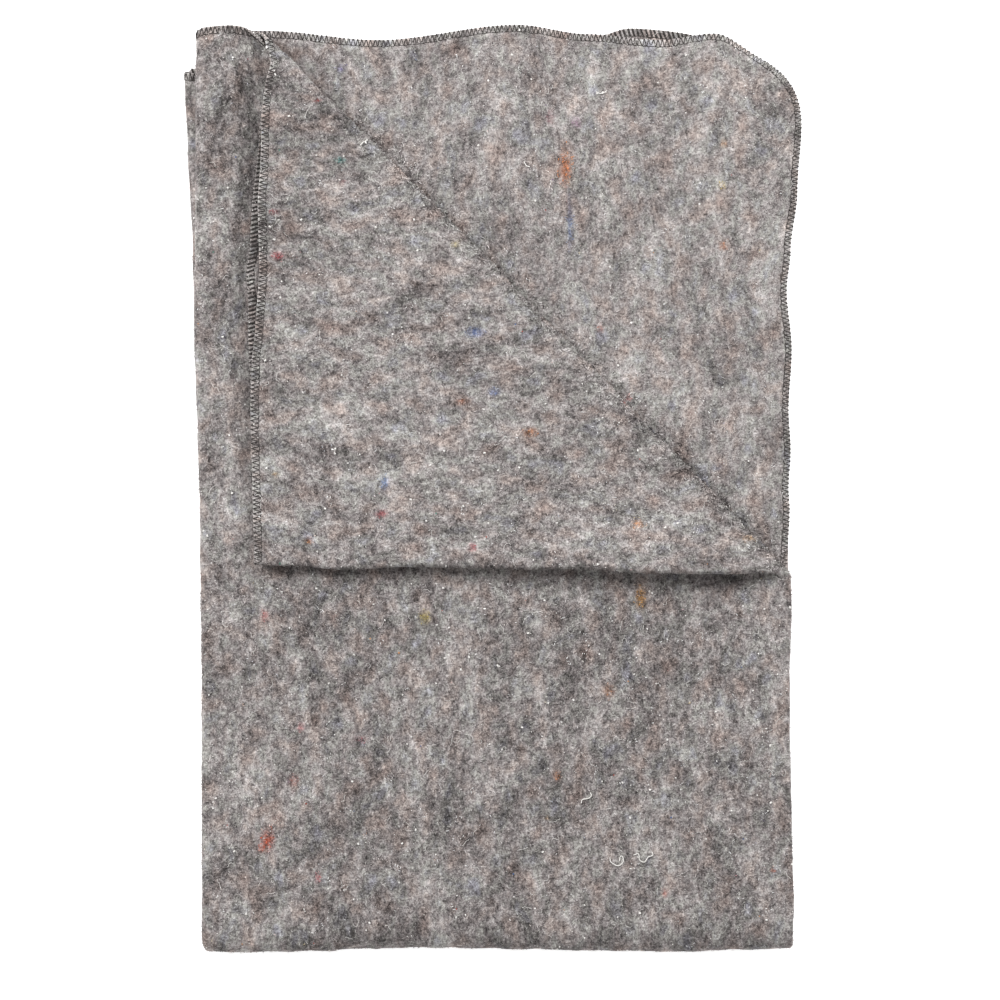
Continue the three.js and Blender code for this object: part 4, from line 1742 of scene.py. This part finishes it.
@dataclass
class Nap:
    """Short nap on all that shows, and the dyed fibres in it. Angles are in radians."""

    cloth: Cloth
    blades: int = 5
    blade_length: float = 2.4
    blade_width: float = 0.36
    blade_bend: float = 0.95
    blade_rise: tuple[float, ...] = (-0.3, 0.3, 0.45, 0.2)
    rise_spread: tuple[float, float] = (-0.1, 0.15)
    lengths: tuple[float, float] = (0.55, 1.35)
    crest_lengths: tuple[float, float] = (1.0, 1.9)
    density: float = 0.1
    batches: int = 3
    seed: int = 21
    shade_seed: int = 77
    lean: float = 0.3
    swing: float = 3.14
    fleck_density: float = 0.5
    tuft_crowd: float = 0.4
    crest_density: float = 0.6
    stray_flecks: int = 330
    stray_crowd: float = 0.3
    stray_open: float = 0.5
    stray_height: float = 5.0
    stray_dyes: tuple[str, ...] = (
        "#b5533a", "#c98a4b", "#4b5f86", "#5f8784", "#a8485a", "#6f5f84", "#c8b070"
    )
    lint_flecks: int = 620
    lint_crowd: float = 0.45
    crowd_spread: tuple[float, float] = (0.4, 1.2)
    tuft_upward: float = 0.3
    tuft_open: float = 0.7
    tuft_edge: float = 0.06
    dye_edge: float = 0.02
    lint_dye: str = "#efedea"
    tufts: tuple[Tuft, ...] = (
        Tuft(61.0, 270.0, 4.6, 15.0, 0.9, "#dd8f58"),
        Tuft(59.5, 268.0, 2.8, 6.0, 1.2, "#ea8f58"),
        Tuft(64.5, 222.0, 2.2, 18.0, 0.6, "#5b719f"),
        Tuft(70.0, 307.0, 4.0, 4.0, 0.6, "#a07a95"),
        Tuft(48.0, 312.0, 3.0, 6.0, 0.5, "#b98a90"),
        Tuft(194.0, 290.0, 2.6, 3.0, 0.9, "#d58f4e"),
        Tuft(192.5, 255.0, 2.2, 2.8, 0.9, "#cdb35f"),
        Tuft(193.0, 204.0, 2.4, 3.4, 0.9, "#cf7f45"),
        Tuft(90.0, 135.0, 2.6, 2.6, 0.8, "#b5604f"),
        Tuft(112.0, 75.0, 3.0, 3.0, 0.8, "#a8463f"),
        Tuft(122.0, -29.5, 4.4, 2.6, 1.0, "#cf8a4d"),
        Tuft(215.0, -41.0, 5.6, 2.4, 0.9, "#b98c4e"),
        Tuft(124.0, -91.5, 3.2, 8.5, 1.1, "#d99c48"),
        Tuft(188.0, 18.0, 4.0, 2.2, 0.6, "#93a6c4"),
        Tuft(-15.0, 131.5, 6.5, 3.2, 1.0, "#56668f"),
        Tuft(1.0, 81.5, 4.5, 2.6, 0.8, "#6c7fb0"),
        Tuft(31.0, 48.0, 6.0, 3.2, 0.9, "#c98350"),
        Tuft(-25.5, 73.0, 5.0, 2.6, 0.8, "#a86a4c"),
        Tuft(-93.0, -21.0, 4.6, 2.4, 1.0, "#c0545a"),
        Tuft(-17.5, -48.5, 2.6, 2.6, 1.1, "#b83f4a"),
        Tuft(-91.0, 5.0, 3.4, 5.0, 0.8, "#6e86ae"),
        Tuft(-154.0, -43.5, 2.6, 2.4, 1.2, "#e0924a"),
        Tuft(-182.0, 12.0, 2.2, 2.0, 0.8, "#c99a52"),
        Tuft(-57.0, -108.0, 4.2, 4.4, 0.9, "#cdb85e"),
        Tuft(-191.5, -106.0, 3.0, 4.0, 0.7, "#b86a6a"),
        Tuft(-189.0, -294.0, 4.4, 7.0, 1.1, "#e06a48"),
        Tuft(-193.0, -302.0, 4.0, 3.0, 0.9, "#d9694a"),
        Tuft(-146.5, -326.0, 2.6, 3.2, 0.9, "#b5535c"),
        Tuft(-161.0, -200.0, 2.6, 3.4, 0.9, "#b5535c"),
        Tuft(-110.5, -210.0, 4.4, 2.4, 0.7, "#b05560"),
        Tuft(-167.0, -246.0, 3.6, 6.0, 0.6, "#b87565"),
        Tuft(98.0, -169.0, 4.0, 5.0, 0.7, "#c98a5a"),
        Tuft(54.0, -241.0, 2.6, 4.0, 0.9, "#c98350"),
        Tuft(45.0, -276.0, 2.0, 1.8, 0.9, "#d9a050"),
        Tuft(144.0, -339.0, 2.4, 3.6, 0.7, "#c0684e"),
        Tuft(235.0, -320.0, 2.0, 2.0, 0.9, "#d9744a"),
        Tuft(-128.0, 353.0, 3.0, 3.0, 0.6, "#6a5f8c"),
        Tuft(-128.0, 275.5, 3.6, 2.2, 0.9, "#4f8c88"),
        Tuft(-147.0, 325.0, 3.0, 1.8, 0.8, "#a5433f"),
        Tuft(-126.0, 257.0, 2.6, 1.8, 0.7, "#a04a4a"),
        Tuft(-183.0, 231.5, 3.4, 2.2, 0.8, "#b5505a"),
        Tuft(-180.0, 195.0, 4.2, 3.0, 1.0, "#c0454f"),
        Tuft(-32.0, 205.0, 3.4, 2.4, 0.8, "#c6b25e"),
    )
    pieces: list[bpy.types.Object] = field(default_factory=list, init=False)

    def fibre_shapes(self) -> bpy.types.Collection:
        """Makes a few curled fibres, each a flat spindle with a bend of its own.

        Returns:
            The collection that holds them.
        """
        draw = np.random.default_rng(self.seed)
        shapes = bpy.data.collections.new("fibre_shapes")
        steps = len(self.blade_rise) - 1
        for number in range(self.blades):
            turn = draw.uniform(-self.blade_bend, self.blade_bend, steps).cumsum()
            step = self.blade_length / steps * np.stack((np.sin(turn), np.cos(turn)), axis=1)
            line = np.concatenate((np.zeros((1, 2)), step.cumsum(axis=0)))
            height = np.array(self.blade_rise) + draw.uniform(*self.rise_spread, steps + 1)
            side = np.stack((step[1, 1], -step[1, 0])) / np.hypot(*step[1]) * self.blade_width / 2
            points = [
                (*line[0], height[0]),
                (*(line[1] - side), height[1]),
                (*(line[1] + side), height[1]),
                (*(line[2] - side), height[2]),
                (*(line[2] + side), height[2]),
                (*line[3], height[3]),
            ]
            mesh = bpy.data.meshes.new(f"fibre_{number}")
            mesh.from_pydata((np.array(points) * MM).tolist(), [], [(0, 2, 1), (1, 2, 4, 3), (3, 4, 5)])
            shapes.objects.link(bpy.data.objects.new(f"fibre_{number}", mesh))
        return shapes

    def nap_tree(self) -> bpy.types.NodeTree:
        """Builds the tree that sows fibres over a sheet, lying roughly along its nap.

        Returns:
            The tree.
        """
        inputs = {"Share": "String", "Density": "Float", "Seed": "Int"}
        inputs |= dict.fromkeys(("Lean", "Swing", "Shortest", "Longest"), "Float")
        tree, sizes = start_tree("sow_fibres", inputs | {"Shapes": "Collection"})
        seed = sizes.outputs["Seed"]
        share = add_node(tree, "GeometryNodeInputNamedAttribute", None, {"Name": sizes.outputs["Share"]})
        crowd = add_node(
            tree,
            "ShaderNodeMath",
            None,
            {0: share.outputs["Attribute"], 1: sizes.outputs["Density"]},
            operation="MULTIPLY",
        )
        roots = add_node(
            tree,
            "GeometryNodeDistributePointsOnFaces",
            None,
            {"Mesh": sizes.outputs["Geometry"], "Density": crowd.outputs["Value"], "Seed": seed},
        )
        upright = add_node(
            tree, "FunctionNodeAlignRotationToVector", None, {"Vector": roots.outputs["Normal"]}, axis="Z"
        )
        way = add_node(
            tree, "GeometryNodeInputNamedAttribute", {"Name": "nap_way"}, data_type="FLOAT_VECTOR"
        )
        combed = add_node(
            tree,
            "FunctionNodeAlignRotationToVector",
            None,
            {"Rotation": upright.outputs["Rotation"], "Vector": way.outputs["Attribute"]},
            axis="Y",
            pivot_axis="Z",
        )
        low = add_node(tree, "ShaderNodeCombineXYZ")
        high = add_node(tree, "ShaderNodeCombineXYZ")
        for axis, size in (("X", "Lean"), ("Y", "Lean"), ("Z", "Swing")):
            most = sizes.outputs[size]
            least = add_node(tree, "ShaderNodeMath", {1: -1.0}, {0: most}, operation="MULTIPLY")
            tree.links.new(least.outputs["Value"], low.inputs[axis])
            tree.links.new(most, high.inputs[axis])
        stray = add_node(
            tree,
            "FunctionNodeRandomValue",
            None,
            {0: low.outputs["Vector"], 1: high.outputs["Vector"], 8: seed},
            data_type="FLOAT_VECTOR",
        )
        turned = add_node(tree, "FunctionNodeEulerToRotation", None, {"Euler": stray.outputs[0]})
        laid = add_node(
            tree,
            "FunctionNodeRotateRotation",
            None,
            {"Rotation": combed.outputs["Rotation"], "Rotate By": turned.outputs["Rotation"]},
            rotation_space="LOCAL",
        )
        shapes = add_node(
            tree,
            "GeometryNodeCollectionInfo",
            {"Separate Children": True, "Reset Children": True},
            {"Collection": sizes.outputs["Shapes"]},
        )
        length = add_node(
            tree,
            "FunctionNodeRandomValue",
            None,
            {2: sizes.outputs["Shortest"], 3: sizes.outputs["Longest"], 8: seed},
            data_type="FLOAT",
        )
        fibres = add_node(
            tree,
            "GeometryNodeInstanceOnPoints",
            {"Pick Instance": True},
            {
                "Points": roots.outputs["Points"],
                "Instance": shapes.outputs["Instances"],
                "Rotation": laid.outputs["Rotation"],
                "Scale": length.outputs[1],
            },
        )
        own = add_node(
            tree, "FunctionNodeRandomValue", {2: 0.0, 3: 1.0, 8: self.shade_seed}, data_type="FLOAT"
        )
        shaded = add_node(
            tree,
            "GeometryNodeStoreNamedAttribute",
            {"Name": "shade"},
            {"Geometry": fibres.outputs["Instances"], "Value": own.outputs[1]},
            data_type="FLOAT",
            domain="INSTANCE",
        )
        end_tree(tree, sizes, shaded.outputs["Geometry"])
        return tree

    def place_flecks(self) -> None:
        """Marks on the sheet where dyed fibres and white lint lie, and their dyes."""
        mesh = self.cloth.piece.data
        count = len(mesh.vertices)
        places = np.zeros(3 * count, np.float32)
        mesh.vertices.foreach_get("co", places)
        places = places.reshape(-1, 3) / MM
        normals = np.zeros(3 * count, np.float32)
        mesh.vertex_normals.foreach_get("vector", normals)
        upward = normals.reshape(-1, 3)[:, 2] > self.tuft_upward
        upward &= self.cloth.open_share > self.tuft_open
        crowd = np.zeros(count)
        stain = np.zeros(count)
        dyes = np.ones((count, 4))
        for tuft in self.tufts:
            near = tuft.near(places[:, 0], places[:, 1]) * upward
            taken = near > np.maximum(crowd, self.tuft_edge)
            crowd[taken] = self.tuft_crowd * near[taken]
            stain = np.maximum(stain, near)
            dyes[near > self.dye_edge] = linear_colour(tuft.dye)
        draw = np.random.default_rng(self.seed)
        raised = places[:, 2] > self.stray_height
        fields = np.flatnonzero((self.cloth.open_share > self.stray_open) & raised)
        each = self.stray_flecks // len(self.stray_dyes)
        strays = [(dye, each, self.stray_crowd) for dye in self.stray_dyes]
        for dye, number, thickness in (*strays, (self.lint_dye, self.lint_flecks, self.lint_crowd)):
            spots = draw.choice(fields, number, replace=False)
            spots = spots[crowd[spots] == 0.0]
            crowd[spots] = thickness * draw.uniform(*self.crowd_spread, len(spots))
            dyes[spots] = linear_colour(dye)
        write_attribute(mesh, "fleck_share", "FLOAT", crowd)
        write_attribute(mesh, "stain", "FLOAT", np.minimum(stain, 1.0))
        write_attribute(mesh, "dye", "FLOAT_COLOR", dyes)

    def build(self, wool: WoolFibre, dyed: DyedFibre) -> None:
        """Sows the nap in batches, then the dyed fibres.

        Args:
            wool: finish of the nap.
            dyed: finish of the dyed fibres.
        """
        self.place_flecks()
        tree = self.nap_tree()
        shapes = self.fibre_shapes()
        per_square_metre = 1.0 / MM**2
        sizes = {"Lean": self.lean, "Swing": self.swing, "Shapes": shapes, "Material": wool.make()}
        sizes.update(zip(("Shortest", "Longest"), self.lengths))
        sizes.update({"Share": "nap_share", "Density": self.density * per_square_metre})
        for number in range(self.batches):
            sizes["Seed"] = self.seed + number
            self.pieces.append(grow(self.cloth.piece, tree, sizes, f"nap_{number + 1}"))
        longer = {"Share": "crest_share", "Density": self.crest_density * per_square_metre}
        longer.update(zip(("Shortest", "Longest"), self.crest_lengths))
        self.pieces.append(grow(self.cloth.piece, tree, sizes | longer, "crest_fibres"))
        sizes.update({"Share": "fleck_share", "Density": self.fleck_density * per_square_metre})
        sizes.update({"Seed": self.seed + self.batches, "Material": dyed.make()})
        self.pieces.append(grow(self.cloth.piece, tree, sizes, "dyed_fibres"))
        for shape in list(shapes.objects):
            bpy.data.objects.remove(shape)
        bpy.data.collections.remove(shapes)

    def dress(self) -> None:
        """Gives the fibres their place in the frame."""
        for piece in self.pieces:
            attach(piece, "root")


@dataclass(frozen=True)
class Scatter:
    """Loose ends of one kind, strewn over the cloth: how many, their steps, and how thick they are."""

    count: int
    step: float
    steps: tuple[int, int]
    radius: float
    rise: float


@dataclass
class Lint:
    """Loose white fibre that lies on the cloth: a few long curls, faint short threads, and small nubs."""

    cloth: Cloth
    curls: tuple[tuple[tuple[float, float], ...], ...] = (
        ((98, -309), (99, -313), (105, -316), (109, -313), (109, -309), (107, -308), (106, -312)),
        ((118, -307), (122, -306), (123, -311), (127, -313), (130, -309), (134, -307), (133, -304)),
        ((74, -263.5), (75, -260.5), (80, -259.5), (82.5, -257), (81.5, -254.5)),
        ((86.5, 333.5), (90, 332), (93, 332.5), (95.5, 334.5)),
        ((-111, 288), (-108, 291), (-106, 289), (-107, 292)),
        ((26, 275), (28, 271.5), (31, 270.5)),
    )
    curl_radius: float = 0.4
    curl_steps: int = 4
    strays: Scatter = Scatter(300, 1.2, (3, 10), 0.13, 0.75)
    nubs: Scatter = Scatter(190, 0.9, (1, 3), 0.8, 0.25)
    grains: Scatter = Scatter(440, 0.6, (1, 2), 0.45, 0.4)
    open_limit: float = 0.7
    wander: float = 0.6
    third_share: float = 0.35
    curl_rise: float = 0.75
    steepest: float = 3.0
    cast_height: float = 1000.0
    sides: int = 4
    seed: int = 31
    pieces: list[bpy.types.Object] = field(default_factory=list, init=False)

    def scattered_lines(self, scatter: Scatter) -> list[np.ndarray]:
        """Draws short wandering lines, fewer on the layer that shows at the upper right.

        Args:
            scatter: the kind of loose end.

        Returns:
            The lines seen from above.
        """
        cloth = self.cloth
        draw = np.random.default_rng(self.seed + scatter.count)
        open_places = np.flatnonzero(cloth.open_share > self.open_limit)
        third = cloth.flat[open_places, 0] < cloth.sheet.flat_length / len(Layer)
        chance = np.where(third, self.third_share, 1.0)
        lines = []
        for number in draw.choice(open_places, scatter.count, replace=False, p=chance / chance.sum()):
            start = np.array(cloth.piece.data.vertices[number].co[:2]) / MM
            count = draw.integers(*scatter.steps)
            way = draw.uniform(0, 2 * math.pi) + draw.normal(0.0, self.wander, count).cumsum()
            steps = scatter.step * np.stack((np.cos(way), np.sin(way)), axis=1)
            lines.append(np.concatenate((start[None], start + steps.cumsum(axis=0))))
        return lines

    def curl_lines(self) -> list[np.ndarray]:
        """Draws the long curls, rounded through their points.

        Returns:
            The lines seen from above.
        """
        lines = []
        for curl in self.curls:
            points = np.array(curl)
            before, after = 2 * points[0] - points[1], 2 * points[-1] - points[-2]
            held = np.concatenate((before[None], points, after[None]))
            share = np.linspace(0.0, 1.0, self.curl_steps, endpoint=False)[:, None]
            spans = []
            for first, second, third, fourth in zip(held, held[1:], held[2:], held[3:]):
                bend = 2 * first - 5 * second + 4 * third - fourth
                twist = 3 * (second - third) + fourth - first
                spans.append(second + share / 2 * (third - first + share * (bend + share * twist)))
            lines.append(np.concatenate((*spans, points[-1:])))
        return lines

    def build(self, white: WhiteLint) -> None:
        """Lays the threads on the cloth.

        Args:
            white: the threads' finish.
        """
        mesh = self.cloth.piece.data
        mesh.calc_loop_triangles()
        faces = [tuple(face.vertices) for face in mesh.loop_triangles]
        ground = BVHTree.FromPolygons([vertex.co for vertex in mesh.vertices], faces)
        tree = thread_tree()
        sizes = {"Sides": self.sides, "Material": white.make()}
        above, down = self.cast_height * MM, (0.0, 0.0, -1.0)
        runs = {"lint_curls": (self.curl_lines(), self.curl_radius, self.curl_rise)}
        for name, scatter in (("strays", self.strays), ("nubs", self.nubs), ("grains", self.grains)):
            runs[f"lint_{name}"] = (self.scattered_lines(scatter), scatter.radius, scatter.rise)
        for name, (lines, radius, rise) in runs.items():
            paths = []
            for line in lines:
                hits = [ground.ray_cast((x, y, above), down)[0] for x, y in (line * MM).tolist()]
                if None in hits:
                    continue
                points = np.array(hits) + (0.0, 0.0, rise * MM)
                order = np.arange(len(points))
                if np.ptp(points[:, 2]) < self.steepest * MM:
                    paths.append((points, np.stack((order[:-1], order[1:]), axis=1)))
            sizes["Radius"] = radius * MM
            self.pieces.append(spin(name, paths, tree, sizes))

    def dress(self) -> None:
        """Gives the threads their place in the frame."""
        for piece in self.pieces:
            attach(piece, "root")


@dataclass(frozen=True)
class Softbox:
    """A square soft light aimed at the blanket: its bearing and height in degrees, and its power."""

    bearing: float
    height: float
    power: float


@dataclass(frozen=True)
class Studio:
    """Pale floor, three soft lights round the blanket, and a camera that looks straight down."""

    view_centre: tuple[float, float] = (5.88, -9.24)
    view_width: float = 840.0
    view_height: float = 15.0
    camera_distance: float = 6000.0
    sensor: float = 36.0
    far_clip: float = 100000.0
    floor_size: float = 9000.0
    floor_drop: float = 0.2
    light_distance: float = 4500.0
    light_size: float = 2100.0
    softboxes: tuple[Softbox, ...] = (
        Softbox(45.0, 32.0, 180.0),
        Softbox(148.0, 32.0, 212.0),
        Softbox(270.0, 30.0, 62.0),
    )
    fill_colour: str = "#ffffff"
    fill_strength: float = 0.15

    def build(self, paper: StudioPaper) -> None:
        """Makes the floor, the lights and the camera.

        Args:
            paper: finish of the floor.
        """
        scene = bpy.context.scene
        half, drop = self.floor_size / 2 * MM, self.floor_drop * MM
        mesh = bpy.data.meshes.new("studio_floor")
        corners = ((-half, -half), (half, -half), (half, half), (-half, half))
        mesh.from_pydata([(x, y, -drop) for x, y in corners], [], [(0, 1, 2, 3)])
        mesh.materials.append(paper.make())
        link_object("studio_floor", mesh)
        lens = bpy.data.cameras.new("studio_camera")
        lens.sensor_width = self.sensor
        lens.lens = self.sensor * self.camera_distance / self.view_width
        lens.clip_end = self.far_clip * MM
        camera = bpy.data.objects.new("studio_camera", lens)
        height = self.view_height + self.camera_distance
        camera.location = Vector((*self.view_centre, height)) * MM
        scene.collection.objects.link(camera)
        scene.camera = camera
        for number, box in enumerate(self.softboxes):
            bearing, rise = math.radians(box.bearing), math.radians(box.height)
            level = math.cos(rise)
            way = Vector((level * math.cos(bearing), level * math.sin(bearing), math.sin(rise)))
            lamp = bpy.data.lights.new(f"softbox_{number + 1}", "AREA")
            lamp.energy = box.power
            lamp.size = self.light_size * MM
            light = bpy.data.objects.new(lamp.name, lamp)
            light.location = way * self.light_distance * MM
            light.rotation_euler = way.to_track_quat("Z", "Y").to_euler()
            scene.collection.objects.link(light)
        world = bpy.data.worlds.new("studio_light")
        world.use_nodes = True
        sky = world.node_tree.nodes["Background"]
        sky.inputs["Color"].default_value = linear_colour(self.fill_colour)
        sky.inputs["Strength"].default_value = self.fill_strength
        scene.world = world
        scene.view_settings.view_transform = "Standard"


def main() -> None:
    """Builds and dresses the blanket, then sets it in the studio."""
    logging.basicConfig(level=logging.INFO, format="%(name)s: %(message)s")
    sheet = FoldedSheet()
    cloth = Cloth(sheet)
    cloth.build()
    cloth.dress(FeltedWool())
    LOG.info("blanket: %d triangles", triangle_count(cloth.piece))
    overlock = Overlock(sheet)
    overlock.build(OverlockYarn())
    overlock.dress()
    nap = Nap(cloth)
    nap.build(WoolFibre(), DyedFibre())
    nap.dress()
    lint = Lint(cloth)
    lint.build(WhiteLint())
    lint.dress()
    trims = [*overlock.pieces, *nap.pieces, *lint.pieces]
    for piece in trims:
        LOG.info("%s: %d triangles", piece.name, triangle_count(piece))
    flat = (sheet.flat_width * MM, sheet.flat_length * MM)
    Studio().build(StudioPaper())


if __name__ == "__main__":
    main()
